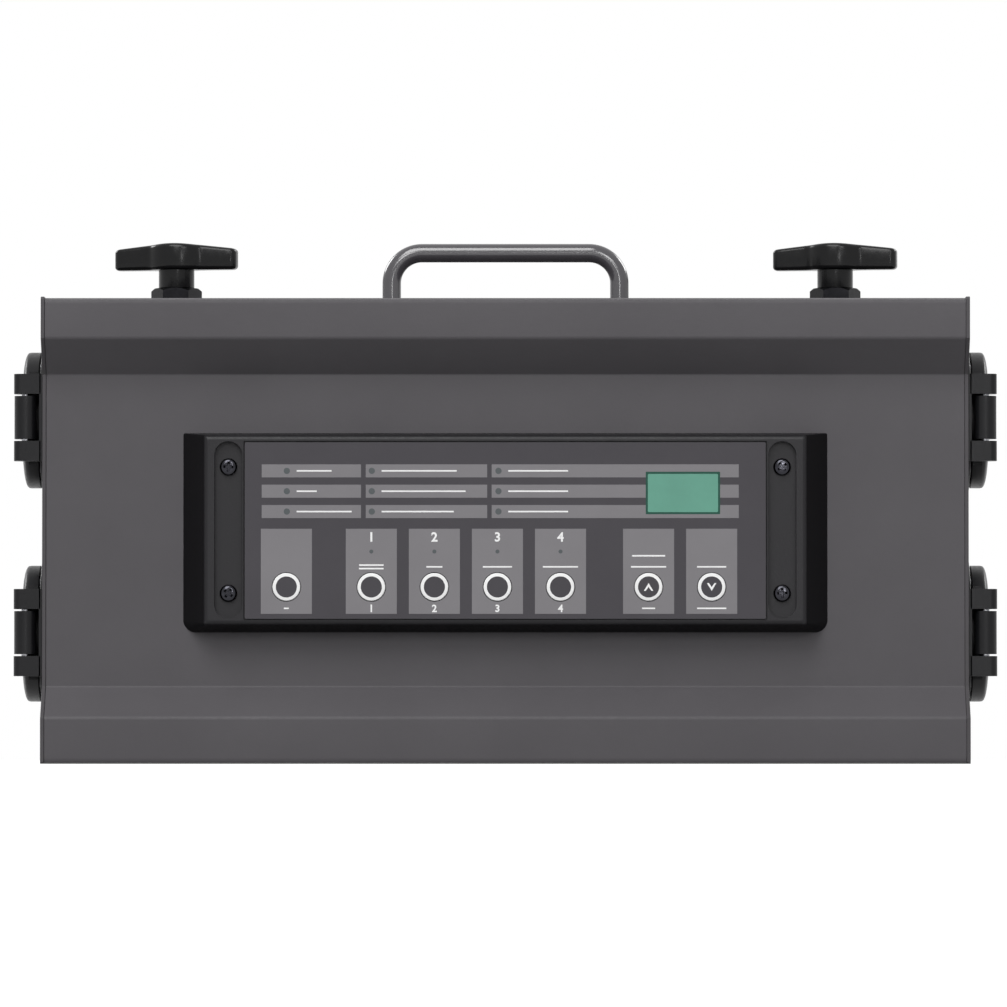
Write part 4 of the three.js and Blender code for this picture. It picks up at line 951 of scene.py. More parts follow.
def make_keys():
    for name in KEY_NAMES:
        low, high = box_of(f"key_{name}")
        middle = (low + high) / 2
        radius, length = (high.x - low.x) / 2, high.y - low.y
        place = (middle.x, high.y, middle.z)
        cap_low, face = length - KEY_CAP, length - KEY_FACE_RISE
        profile = [(0, 0, 0), (KEY_STEM, 0, KEY_STEM_EDGE), (KEY_STEM, cap_low, 0)]
        profile += [(radius, cap_low, KEY_CAP_EDGE), (radius, face, KEY_RIM_EDGE), (0, face, 0)]
        cap = moved(turned(rounded(profile, steps=4), steps=KNOB_STEPS), place, TO_FRONT)
        add_piece(f"key_cap_{name}", cap, f"key_{name}", KEY_WHITE, "key_plastic", f"key_{name}")
        disc = prism(circle(KEY_FACE_RADIUS, steps=KNOB_STEPS), KEY_PRINT, length - KEY_PRINT - KEY_PRINT_OUT)
        moved(disc, place, TO_FRONT)
        add_piece(f"key_face_{name}", disc, f"key_{name}", KEY_FACE, "overlay_film")
    for name, turn in (("up", 0), ("down", math.pi)):
        low, high = box_of(f"key_{name}")
        middle = (low + high) / 2
        mark = moved(prism(chevron(), KEY_PRINT), turn=Matrix.Rotation(turn, 4, "Z"))
        moved(mark, (middle.x, low.y + KEY_PRINT - KEY_PRINT_OUT, middle.z), TO_FRONT)
        add_piece(f"key_mark_{name}", mark, f"key_{name}", WHITE_PRINT, "key_plastic")


# Carry handle
HANDLE_BEND = 12.2
ROD_STEPS = 32
BEND_STEPS = 20
ROD_END_EDGE = 0.4
FILLET_REACH, FILLET_RISE = 1.4, 1.1


def bent_rod(radius, ends, bottom, top, bend):
    """A round rod that rises at both ends and runs across between two bends, in X and Z."""
    stations = [(ends[0], bottom, 0)]
    for first, middle in ((0, ends[0] + bend), (1, ends[1] - bend)):
        for k in range(BEND_STEPS + 1):
            angle = math.pi / 2 * (first + k / BEND_STEPS)
            stations.append((middle - bend * math.cos(angle), top - bend * (1 - math.sin(angle)), angle))
    stations.append((ends[1], bottom, math.pi))
    rings = []
    for x, z, angle in stations:
        ring = []
        for point in circle(radius, steps=ROD_STEPS):
            ring.append((x - point.x * math.cos(angle), point.y, z + point.x * math.sin(angle)))
        rings.append(ring)
    return lofted(rings)


def make_handle():
    low, high = box_of("carry_handle")
    radius = (high.y - low.y) / 2
    ends = (low.x + radius, high.x - radius)
    rod = bent_rod(radius, ends, low.z, high.z - radius, HANDLE_BEND)
    moved(rod, (0, (low.y + high.y) / 2, 0))
    piece = add_piece("handle_rod", rod, "case", ROD_ENAMEL, "handle_steel", "carry_handle")
    soften(piece, ROD_END_EDGE, segments=3, limit=60)
    section = [(radius, 0), (radius + FILLET_REACH, 0), (radius, FILLET_RISE)]
    fillets = [moved(ring_round(section), (x, (low.y + high.y) / 2, case_high.z)) for x in ends]
    add_piece("handle_weld_fillets", together(fillets), "case", ROD_ENAMEL, "handle_steel")


# Clamps
KNOB_TURN = -12
KNOB_HALF = 25.6
KNOB_TIP_HALF = 3.7
KNOB_TIP_ROUND = 2.6
KNOB_ROOT_HALF = 4.4
KNOB_HUB_HALF = 8.8
KNOB_SHOULDER = 5.2
KNOB_HUB_REACH = 10.5
KNOB_HUB_ROUND = 13
KNOB_ROOT_ROUND = 5
KNOB_HUB_HEIGHT = 10.9
KNOB_TIP_HEIGHT = 8.6
KNOB_CROWN = 7
KNOB_EDGE = 1.8
KNOB_EDGE_STEPS = 5
KNOB_SECTIONS = 12
KNOB_STEM_RADIUS = 7.3
KNOB_STEM_EDGE = 0.2
KNOB_STEM_OVERLAP = 2  # how far the stem runs into the hub
KNOB_CUP_RADIUS = 6.9
KNOB_NUT_GAP = 0.15
NUT_FLATS = 18
NUT_EDGE = 1.2
NUT_EASE = 0.25
NUT_COLLAR = 6.7
NUT_COLLAR_HEIGHT = 1.5
NUT_BORE = 6.2
THREAD_PITCH = 1.75
THREAD_DEPTH = 1.07
THREAD_CREST = THREAD_PITCH / 16  # half of the crest's flat
THREAD_STEPS = 24
TIP_LENGTH = 5
TIP_RADIUS = 4.1
TIP_EDGE = 0.6
TIP_OVERLAP = 1
JAW_EASE = 0.4


def knob_wings():
    """The wings and hub of a clamp knob on Z = 0, with rounded edges, their top falling towards the tips."""
    quarter = [
        (KNOB_HALF, KNOB_TIP_HALF, KNOB_TIP_ROUND),
        (KNOB_HUB_REACH, KNOB_ROOT_HALF, KNOB_ROOT_ROUND),
        (KNOB_SHOULDER, KNOB_HUB_HALF, KNOB_HUB_ROUND),
    ]
    back = quarter + [(-x, y, radius) for x, y, radius in reversed(quarter)]
    front = [(x, -y, radius) for x, y, radius in reversed(back)]
    outline = rounded(back + front, steps=8)
    count = len(outline)
    inward = [(outline[(i + 1) % count] - outline[i - 1]).normalized().orthogonal() for i in range(count)]
    steps = [math.pi / 2 * k / KNOB_EDGE_STEPS for k in range(KNOB_EDGE_STEPS + 1)]
    levels = [(KNOB_EDGE * (1 - math.sin(a)), KNOB_EDGE * (1 - math.cos(a))) for a in steps]
    levels += [(inset, KNOB_HUB_HEIGHT - level) for inset, level in reversed(levels)]
    rings = []
    for inset, level in levels:
        places = [point + way * inset for point, way in zip(outline, inward)]
        rings.append([(place.x, place.y, level) for place in places])
    wings = lofted(rings)
    for k in range(1, KNOB_SECTIONS):
        geom = list(wings.verts) + list(wings.edges) + list(wings.faces)
        place = KNOB_HALF * (2 * k / KNOB_SECTIONS - 1)
        bmesh.ops.bisect_plane(wings, geom=geom, dist=WELD, plane_co=(place, 0, 0), plane_no=(1, 0, 0))
    fall = (KNOB_HUB_HEIGHT - KNOB_TIP_HEIGHT) / (math.hypot(KNOB_HALF, KNOB_CROWN) - KNOB_CROWN)
    for vert in wings.verts:
        share = vert.co.z / KNOB_HUB_HEIGHT
        vert.co.z -= share * fall * (math.hypot(vert.co.x, KNOB_CROWN) - KNOB_CROWN)
    return wings


def make_knob(side):
    low, high = box_of(f"clamp_knob_{side}")
    middle = (low + high) / 2
    wing_low = high.z - KNOB_HUB_HEIGHT
    stem_length = wing_low - low.z
    nut_top = box_of(f"clamp_nut_{side}")[1].z
    foot = nut_top - NUT_COLLAR_HEIGHT + KNOB_NUT_GAP - low.z
    cup = nut_top + KNOB_NUT_GAP - low.z
    stem_top = stem_length + KNOB_STEM_OVERLAP
    corners = [(0, cup, 0), (KNOB_CUP_RADIUS, cup, 0), (KNOB_CUP_RADIUS, foot, 0)]
    corners += [(KNOB_STEM_RADIUS, foot, KNOB_STEM_EDGE), (KNOB_STEM_RADIUS, stem_top, 0), (0, stem_top, 0)]
    stem = turned(rounded(corners, steps=3), steps=KNOB_STEPS)
    wings = moved(knob_wings(), (0, 0, stem_length))
    knob = together([stem, wings])
    moved(knob, (middle.x, middle.y, low.z), Matrix.Rotation(math.radians(KNOB_TURN), 4, "Z"))
    add_piece(f"knob_{side}", knob, f"knob_{side}", KNOB_BLACK, "knob_plastic", f"clamp_knob_{side}")


def make_nut(side):
    low, high = box_of(f"clamp_nut_{side}")
    middle, height = (low + high) / 2, high.z - low.z
    corner, flat = NUT_FLATS / math.sqrt(3), NUT_FLATS / 2
    top = height - NUT_COLLAR_HEIGHT
    blank = [(0, 0), (flat, 0), (corner + WELD, NUT_EDGE / 2), (corner + WELD, top - NUT_EDGE), (flat, top)]
    blank += [(NUT_COLLAR, top), (NUT_COLLAR, height), (0, height)]
    nut = carved(prism(hexagon(NUT_FLATS), height), turned(blank, steps=KNOB_STEPS), operation="INTERSECT")
    nut = moved(carved(nut, cutter(circle(NUT_BORE))), (middle.x, middle.y, low.z))
    # The nut takes the black zinc darkened with painted shade
    soften(add_piece(f"nut_{side}", nut, "case", NUT_SHADED_BLACK, "black_steel", f"clamp_nut_{side}"), NUT_EASE)


def threaded_rod(radius, length):
    """A rod on Z = 0 with a right-hand screw thread."""
    root, flank = radius - THREAD_DEPTH, THREAD_PITCH / 2 - THREAD_CREST
    profile = [(root, 0), (radius, flank), (radius, THREAD_PITCH - flank), (root, THREAD_PITCH)]
    turns = int(length / THREAD_PITCH) - 1
    shape = bmesh.new()
    verts = [shape.verts.new((out, 0, up)) for out, up in profile]
    edges = [shape.edges.new(pair) for pair in zip(verts, verts[1:])]
    bmesh.ops.spin(
        shape,
        geom=verts + edges,
        cent=(0, 0, 0),
        axis=(0, 0, 1),
        dvec=(0, 0, THREAD_PITCH / THREAD_STEPS),
        angle=2 * math.pi * turns,
        steps=THREAD_STEPS * turns,
    )
    bmesh.ops.remove_doubles(shape, verts=shape.verts, dist=WELD)
    rims = [edge for edge in shape.edges if edge.is_boundary]
    for end, upper in ((0, False), (length, True)):
        rim = [edge for edge in rims if (edge.verts[0].co.z > length / 2) == upper]
        drawn = bmesh.ops.extrude_edge_only(shape, edges=rim)["geom"]
        verts = [item for item in drawn if isinstance(item, bmesh.types.BMVert)]
        bmesh.ops.pointmerge(shape, verts=verts, merge_co=(0, 0, end))
    bmesh.ops.recalc_face_normals(shape, faces=shape.faces)
    return shape


def make_spindle(side):
    low, high = box_of(f"clamp_spindle_{side}")
    middle = (low + high) / 2
    start = TIP_LENGTH - TIP_OVERLAP
    rod = moved(threaded_rod((high.x - low.x) / 2, high.z - low.z - start), (0, 0, start))
    point = post(TIP_RADIUS, 0, TIP_LENGTH, TIP_EDGE, steps=HEAD_STEPS)
    spindle = moved(together([rod, point]), (middle.x, middle.y, low.z))
    add_piece(f"spindle_{side}", spindle, f"knob_{side}", ZINC_STEEL, "zinc_steel", f"clamp_spindle_{side}")


def make_clamps():
    for side in ("left", "right"):
        make_knob(side)
        make_nut(side)
        make_spindle(side)
        recast(f"clamp_jaw_{side}", BLACK_STEEL, JAW_EASE)


# Side sockets, with heights measured outwards from the end plate
FLANGE_RADIUS = 30.5
FLANGE_LOW, FLANGE_OUT = 0.1, 1.3
RIM_RADIUS = 23.3
RIM_OUT = 5.6
CUP_RADIUS = 19.8
CUP_FLOOR = -11.9
BODY_RADIUS = 21.6
BODY_DEPTH = 30
BODY_EDGE, FLANGE_EDGE, RIM_FOOT, RIM_EDGE, CUP_EDGE = 1.5, 0.5, 0.4, 0.6, 0.5
BASE_EASE = 0.25
CONTACT_PLACE = 9.5
CONTACT_RADIUS = 2.7
CONTACT_DEPTH = 12
SLEEVE_WALL = 0.5
SLEEVE_GAP = 0.05
SLEEVE_SINK, SLEEVE_FOOT = 0.6, 0.2
# An earth clip's bends: how far inside the cup's wall, and the height
CLIP_BENDS = [(2.1, -10), (3, -6), (3.4, -3), (2.7, 0), (1.8, 1)]
CLIP_THICKNESS = 0.4
CLIP_WIDTH = 4
FLANGE_SCREW = (1.9, 1.3, 0.3)
FLANGE_SCREW_CIRCLE = 28.1
FLANGE_SCREW_OUT = 0.25
HINGE_BACK = 28.5
HINGE_OUT = 7
EAR_HALF = 4.2
EAR_OUT = 11.5
EAR_ROUND = 2.8
EAR_INNER, EAR_OUTER = 9.4, 17.4
PIN_RADIUS = 1.5
PIN_EDGE = 0.5
PIN_HOLE = 1.8
PAD_HEIGHT = 1.2
GUIDE_WIDTH = 5
GUIDE_HALF = 1.6
GUIDE_SINK = 0.1
GUIDE_OUT = 1.2
GUIDE_EDGE = 0.4
LID_RADIUS = 27.4
LID_WALL = 2
LID_LOW = 2.3
LID_SHOULDER = 6.2
LID_CEILING = 7.1
LID_CROWN = 9.3
LID_CROWN_STEPS = 14
LID_RELIEF = 6
LID_RELIEF_EDGE = 20
LID_EAR_GAP = 1.3
LID_BULGE, LID_SHOULDER_BULGE = 4, 1 / 3  # powers of the crown's curve
LID_GROOVE_RADIUS = 20.5
LID_GROOVE_DEPTH = 0.7
LID_GROOVE_STEPS = (0.6, 0.35, -0.35, -0.6)  # the groove's brims and its floor's edges
LID_GROOVE_CLEAR = 0.5
LID_EASE = 0.3
BARREL_RADIUS = 4.4
BARREL_HALF = 8.6
WEB_OUT = 8.9
TAB_HALF = 7
TAB_REACH = 2.6
TAB_SINK = 1
TAB_OUT = 5.4
TAB_EDGE = 0.7
GASKET_OUTER, GASKET_INNER = 25.2, 22.4
GASKET_OUT = 6.2
GASKET_SINK = 0.1
GASKET_BEVEL, GASKET_BEVEL_DEPTH = 0.7, 0.4


def socket_body():
    profile = [
        (0, -BODY_DEPTH, 0),
        (BODY_RADIUS, -BODY_DEPTH, BODY_EDGE),
        (BODY_RADIUS, FLANGE_LOW, 0),
        (FLANGE_RADIUS, FLANGE_LOW, 0),
        (FLANGE_RADIUS, FLANGE_OUT, FLANGE_EDGE),
        (RIM_RADIUS, FLANGE_OUT, RIM_FOOT),
        (RIM_RADIUS, RIM_OUT, RIM_EDGE),
        (CUP_RADIUS, RIM_OUT, RIM_EDGE),
        (CUP_RADIUS, CUP_FLOOR, CUP_EDGE),
        (0, CUP_FLOOR, 0),
    ]
    body = turned(rounded(profile, steps=4), steps=LID_STEPS)
    holes = [circle(CONTACT_RADIUS, side * CONTACT_PLACE, 0, steps=POST_STEPS) for side in (-1, 1)]
    tools = [prism(hole, CONTACT_DEPTH + OVERRUN, CUP_FLOOR - CONTACT_DEPTH) for hole in holes]
    return carved(body, *tools)


def hinge_ears():
    front, back = -HINGE_BACK - EAR_HALF, -HINGE_BACK + EAR_HALF
    foot = (FLANGE_LOW + FLANGE_OUT) / 2
    corners = [(front, foot, 0), (back, foot, 0), (back, EAR_OUT, EAR_ROUND), (front, EAR_OUT, EAR_ROUND)]
    outline = rounded(corners, steps=6)
    ears = [across(prism(outline, EAR_OUTER - EAR_INNER, low)) for low in (EAR_INNER, -EAR_OUTER)]
    return carved(together(ears), pin_hole())


def make_socket_base(name, place, turn):
    foot = plain_box(-EAR_OUTER, EAR_OUTER, -HINGE_BACK - EAR_HALF, -HINGE_BACK / 2)
    parts = [socket_body(), hinge_ears(), prism(foot, PAD_HEIGHT, FLANGE_LOW)]
    for middle in (CUP_RADIUS, -CUP_RADIUS):
        span = (middle - GUIDE_HALF, middle + GUIDE_HALF)
        heights = (CUP_FLOOR - GUIDE_SINK, GUIDE_OUT)
        parts.append(strip((-GUIDE_WIDTH / 2, GUIDE_WIDTH / 2), span, heights, GUIDE_EDGE))
    base = moved(together(parts), place, turn)
    piece = add_piece(f"socket_{name}", base, "case", SOCKET_BLACK, "socket_plastic", f"socket_base_{name}")
    soften(piece, BASE_EASE, limit=50)


def add_socket_metal(name, place, turn):
    sleeves, clips = [], []
    low, high = CUP_FLOOR - CONTACT_DEPTH + SLEEVE_FOOT, CUP_FLOOR - SLEEVE_SINK
    section = plain_box(CONTACT_RADIUS - SLEEVE_WALL, CONTACT_RADIUS - SLEEVE_GAP, low, high)
    for side in (-1, 1):
        sleeves.append(moved(ring_round(section, steps=POST_STEPS), (side * CONTACT_PLACE, 0, 0)))
        inner = [(side * (CUP_RADIUS - inset), out) for inset, out in CLIP_BENDS]
        outer = [(y + side * CLIP_THICKNESS, out) for y, out in reversed(inner)]
        clips.append(across(prism(inner + outer, CLIP_WIDTH, -CLIP_WIDTH / 2)))
    for kind, shapes in (("contact_sleeves", sleeves), ("earth_clips", clips)):
        metal = moved(together(shapes), place, turn)
        add_piece(f"{kind}_{name}", metal, "case", BRASS, "copper_winding")
    first = Vector((FLANGE_SCREW_CIRCLE, 0, FLANGE_SCREW_OUT))
    angles = [math.pi / 4 + k * math.pi / 2 for k in range(4)]
    places = [(Matrix.Rotation(angle, 3, "Z") @ first, angle) for angle in angles]
    heads = moved(screw_set(FLANGE_SCREW, places), place, turn)
    add_piece(f"flange_screws_{name}", heads, "case", BLACK_STEEL, "black_steel")


def crown_height(reach):
    """How far the lid's outside stands out at a distance from its middle."""
    share = (1 - (reach / LID_RADIUS) ** LID_BULGE) ** LID_SHOULDER_BULGE
    return LID_SHOULDER + (LID_CROWN - LID_SHOULDER) * share


def lid_cap():
    wall = LID_RADIUS - LID_WALL
    profile = [(0, LID_CEILING), (wall, LID_CEILING), (wall, LID_LOW), (LID_RADIUS, LID_LOW)]
    reaches = [LID_RADIUS * math.cos(math.pi / 2 * k / LID_CROWN_STEPS) for k in range(LID_CROWN_STEPS)]
    outer, *floor, inner = [LID_GROOVE_RADIUS + step for step in LID_GROOVE_STEPS]
    outside = [reach for reach in reaches if reach > outer + LID_GROOVE_CLEAR] + [outer]
    inside = [inner] + [reach for reach in reaches if reach < inner - LID_GROOVE_CLEAR]
    profile += [(reach, crown_height(reach)) for reach in outside]
    profile += [(reach, crown_height(reach) - LID_GROOVE_DEPTH) for reach in floor]
    profile += [(reach, crown_height(reach)) for reach in inside]
    profile.append((0, LID_CROWN))
    reach = EAR_OUTER + LID_EAR_GAP
    edge = -HINGE_BACK - LID_RADIUS
    skirt = strip((-reach, reach), (edge, -LID_RELIEF_EDGE), (LID_LOW - OVERRUN, LID_RELIEF))
    ears = [
        strip(side, (edge, -HINGE_BACK + EAR_HALF + LID_EAR_GAP), (LID_LOW - 2 * OVERRUN, EAR_OUT + OVERRUN))
        for side in ((BARREL_HALF, reach), (-reach, -BARREL_HALF))
    ]
    return carved(turned(profile, steps=LID_STEPS), skirt, *ears)


def pin_hole():
    return across(cutter(circle(PIN_HOLE, -HINGE_BACK, HINGE_OUT, steps=POST_STEPS)))


def make_socket_lid(name, place, turn):
    barrel = circle(BARREL_RADIUS, -HINGE_BACK, HINGE_OUT, steps=HEAD_STEPS)
    barrel = across(prism(barrel, 2 * BARREL_HALF, -BARREL_HALF))
    web = strip((-BARREL_HALF, BARREL_HALF), (-HINGE_BACK, -LID_RELIEF_EDGE), (LID_RELIEF, WEB_OUT))
    tab_span = (LID_RADIUS - TAB_SINK, LID_RADIUS + TAB_REACH)
    tab = strip((-TAB_HALF, TAB_HALF), tab_span, (LID_LOW, TAB_OUT), TAB_EDGE)
    lid = together([lid_cap(), carved(barrel, pin_hole()), carved(web, pin_hole()), tab])
    moved(lid, place, turn)
    piece = add_piece(f"lid_{name}", lid, f"lid_{name}", SOCKET_BLACK, "socket_plastic", f"socket_lid_{name}")
    soften(piece, LID_EASE, limit=50)
    top, lip = LID_CEILING + GASKET_SINK, GASKET_OUT - GASKET_BEVEL_DEPTH
    section = [(GASKET_INNER, top), (GASKET_OUTER, top), (GASKET_OUTER, GASKET_OUT)]
    section += [(GASKET_OUTER - GASKET_BEVEL, lip), (GASKET_INNER + GASKET_BEVEL, lip)]
    section.append((GASKET_INNER, GASKET_OUT))
    relief = strip((-EAR_OUTER, EAR_OUTER), (-HINGE_BACK - LID_RADIUS, -LID_RELIEF_EDGE), (0, LID_RELIEF))
    gasket = carved(ring_round(section, steps=LID_STEPS), relief)
    add_piece(f"lid_gasket_{name}", moved(gasket, place, turn), f"lid_{name}", RUBBER, "socket_plastic")


def make_socket_pin(name, place, turn):
    low, high = box_of(f"socket_pin_{name}")
    half = (high.z - low.z) / 2
    pin = post(PIN_RADIUS, -half, half, PIN_EDGE, steps=POST_STEPS)
    moved(pin, (0, -HINGE_BACK, HINGE_OUT), TO_RIGHT)
    add_piece(f"pin_{name}", moved(pin, place, turn), "case", ZINC_STEEL, "zinc_steel", f"socket_pin_{name}")


def make_sockets():
    for side, turn in (("left", TO_LEFT), ("right", TO_RIGHT)):
        for level in ("lower", "upper"):
            name = f"{side}_{level}"
            pin = middle_of(f"socket_pin_{name}")
            plate = pin.x - math.copysign(HINGE_OUT, pin.x)
            place = (plate, pin.y + HINGE_BACK, pin.z)
            make_socket_base(name, place, turn)
            make_socket_lid(name, place, turn)
            make_socket_pin(name, place, turn)
            add_socket_metal(name, place, turn)


# Rear connectors, with heights measured outwards from the rear wall
WALL_GAP = 0.1
FITTING_EASE = 0.3
DMX_FLANGE = (26, 31)
DMX_FLANGE_OUT = 2.1
DMX_CORNER = 2.5
DMX_BODY_RADIUS = 11.7
DMX_BODY_DEPTH = 20
DMX_BODY_TOP = 0.4
DMX_BODY_EDGE = 0.8
DMX_RING_RADIUS = 11
DMX_RING_LOW = 1
DMX_RING_OUT = 3.1
DMX_RING_EDGE = 0.5
DMX_CUP_RADIUS = 9.3
DMX_CUP_DEPTH = 12
DMX_CORE_RADIUS = 8.2
DMX_GROOVE_DEPTH = 9
DMX_PIN_RADIUS = 1.25
DMX_PIN_SPAN = (-9, 1.1)
DMX_PIN_EDGE_SHARE = 0.6
DMX_HOLE_RADIUS = 1.5
DMX_SLEEVE_RADIUS = 1.4
DMX_SLEEVE_SPAN = (-6, 0.1)
DMX_PIN_CIRCLE = 4.9
DMX_PIN_ANGLES = (-50, 90, 230)
DMX_SCREW_PLACE = (9.5, 12)
DMX_SCREW = (2.3, 1.4, 0.8)
DMX_SCREW_TURN = 0.6
LATCH_HALF = 3
LATCH_REACH = 3.3
LATCH_SINK = 0.1
LATCH_LOW = 1.5
LATCH_EDGE = 0.4
GLAND_HEX = 24
GLAND_HEX_OUT = 6.1
GLAND_DOME_RADIUS = 10.5
GLAND_OUT = 19
GLAND_SHOULDER = 6
GLAND_SHOULDER_ROUND = 4
GLAND_MOUTH = 6.6
GLAND_MOUTH_ROUND = 1.2
GLAND_BORE = 4.8
GLAND_THREAD = 8
GLAND_INSIDE = 12
GLAND_RIBS = 18
GLAND_RIB_DEPTH = 0.45
SEAL_BORE = 4.1
SEAL_LOW, SEAL_OUT = 10, 18.2
SEAL_BEVEL, SEAL_BEVEL_DEPTH = 0.3, 0.6
SEAL_OVERLAP = 0.1
LOCKNUT_HEX = 22
LOCKNUT_HEIGHT = 4
SHEET = 1.2
FUSE_BEZEL = 8
FUSE_BEZEL_OUT = 2.1
FUSE_TUBE_EDGE, FUSE_BEZEL_EDGE, FUSE_MOUTH_EDGE = 0.5, 0.8, 0.2
FUSE_TUBE = 6.3
FUSE_BORE = 4.6
FUSE_BORE_DEPTH = 16
FUSE_DEPTH = 28
FUSE_CAP_RADIUS = 5.9
FUSE_CAP_HEIGHT = 6
FUSE_CAP_RIBS = 20
FUSE_CAP_RIB_DEPTH = 0.3
FUSE_CAP_EASE = 0.4
FUSE_CAP_GAP = 0.1
FUSE_STEM_RADIUS = 4.2
FUSE_STEM_DEPTH = 14
FUSE_STEM_OVERLAP = 0.5
FUSE_STEM_EDGE = 0.4
FUSE_SLOT = 1.6
FUSE_SLOT_DEPTH = 2


def ribbed(radius, depth, count, steps=4):
    """A round outline with shallow grip flutes."""
    points = []
    for k in range(count * steps):
        angle = 2 * math.pi * k / (count * steps)
        reach = radius - depth * (0.5 - 0.5 * math.cos(count * angle))
        points.append(Vector((reach * math.cos(angle), reach * math.sin(angle))))
    return points


def contact_places():
    return [Matrix.Rotation(math.radians(a), 2) @ Vector((DMX_PIN_CIRCLE, 0)) for a in DMX_PIN_ANGLES]


def connector_shell(face_tools):
    """A panel connector's body on Z = 0, open towards its face."""
    flange = prism(rounded_box(*DMX_FLANGE, DMX_CORNER), DMX_FLANGE_OUT - WALL_GAP, WALL_GAP)
    ring = post(DMX_RING_RADIUS, DMX_RING_LOW, DMX_RING_OUT, DMX_RING_EDGE, steps=KNOB_STEPS)
    body = post(DMX_BODY_RADIUS, -DMX_BODY_DEPTH, DMX_BODY_TOP, DMX_BODY_EDGE, steps=KNOB_STEPS)
    return carved(carved(flange, ring, body, operation="UNION"), *face_tools)


def add_connector_metal(name, place, radius, low, high):
    edge = radius * DMX_PIN_EDGE_SHARE
    pins = [moved(post(radius, low, high, edge, steps=PIN_STEPS), (*way, 0)) for way in contact_places()]
    add_piece(f"{name}_contacts", moved(together(pins), place, TO_REAR), "case", BRASS, "copper_winding")
    across_x, up_y = DMX_SCREW_PLACE
    places = [((side * across_x, -side * up_y, DMX_FLANGE_OUT), DMX_SCREW_TURN * side) for side in (-1, 1)]
    heads = moved(screw_set(DMX_SCREW, places), place, TO_REAR)
    add_piece(f"{name}_screws", heads, "case", ZINC_STEEL, "zinc_steel")


def make_connectors():
    height = middle_of("dmx_input_connector").z  # both have it, but the output's latch moves its box's middle
    cup_outline = circle(DMX_CUP_RADIUS, steps=KNOB_STEPS)
    cup = prism(cup_outline, DMX_CUP_DEPTH + OVERRUN, DMX_RING_OUT - DMX_CUP_DEPTH)
    groove_floor = DMX_RING_OUT - DMX_GROOVE_DEPTH
    outer = prism(cup_outline, DMX_GROOVE_DEPTH + OVERRUN, groove_floor)
    tools = [carved(outer, cutter(circle(DMX_CORE_RADIUS, steps=KNOB_STEPS)))]
    for way in contact_places():
        hole = circle(DMX_HOLE_RADIUS, *way, steps=PIN_STEPS)
        tools.append(prism(hole, DMX_GROOVE_DEPTH + OVERRUN, groove_floor))
    latch_span = (-DMX_RING_RADIUS - LATCH_REACH, -DMX_RING_RADIUS + LATCH_SINK)
    latch = strip((-LATCH_HALF, LATCH_HALF), latch_span, (LATCH_LOW, DMX_RING_OUT), LATCH_EDGE)
    shells = {"input": connector_shell([cup]), "output": together([connector_shell(tools), latch])}
    contacts = {"input": (DMX_PIN_RADIUS, *DMX_PIN_SPAN), "output": (DMX_SLEEVE_RADIUS, *DMX_SLEEVE_SPAN)}
    for way, shell in shells.items():
        node = f"dmx_{way}_connector"
        place = (middle_of(node).x, CASE_REAR, height)
        moved(shell, place, TO_REAR)
        piece = add_piece(f"control_{way}", shell, "case", FITTING_BLACK, "connector_plastic", node)
        soften(piece, FITTING_EASE)
        add_connector_metal(f"control_{way}", place, *contacts[way])


def make_gland():
    middle = middle_of("mains_gland")
    place = (middle.x, CASE_REAR, middle.z)
    low = GLAND_HEX_OUT - WALL_GAP
    dome = prism(ribbed(GLAND_DOME_RADIUS, GLAND_RIB_DEPTH, GLAND_RIBS), GLAND_OUT - low, low)
    crown = [
        (0, 0, 0),
        (GLAND_DOME_RADIUS + OVERRUN, 0, 0),
        (GLAND_DOME_RADIUS + OVERRUN, GLAND_OUT - GLAND_SHOULDER, GLAND_SHOULDER_ROUND),
        (GLAND_MOUTH, GLAND_OUT, GLAND_MOUTH_ROUND),
        (0, GLAND_OUT, 0),
    ]
    dome = carved(dome, turned(rounded(crown, steps=6), steps=KNOB_STEPS), operation="INTERSECT")
    nut = prism(hexagon(GLAND_HEX), GLAND_HEX_OUT - WALL_GAP, WALL_GAP)
    thread = prism(circle(GLAND_THREAD), GLAND_INSIDE + OVERRUN, -GLAND_INSIDE)
    locknut = prism(hexagon(LOCKNUT_HEX), LOCKNUT_HEIGHT, -SHEET - WALL_GAP - LOCKNUT_HEIGHT)
    whole = carved(nut, dome, thread, locknut, operation="UNION")
    gland = moved(carved(whole, cutter(circle(GLAND_BORE))), place, TO_REAR)
    piece = add_piece("gland_body", gland, "case", FITTING_BLACK, "connector_plastic", "mains_gland")
    soften(piece, FITTING_EASE)
    outer = GLAND_BORE + SEAL_OVERLAP
    section = [(SEAL_BORE, SEAL_LOW), (outer, SEAL_LOW), (outer, SEAL_OUT)]
    section += [(SEAL_BORE + SEAL_BEVEL, SEAL_OUT), (SEAL_BORE, SEAL_OUT - SEAL_BEVEL_DEPTH)]
    add_piece("gland_seal", moved(ring_round(section), place, TO_REAR), "case", RUBBER, "connector_plastic")


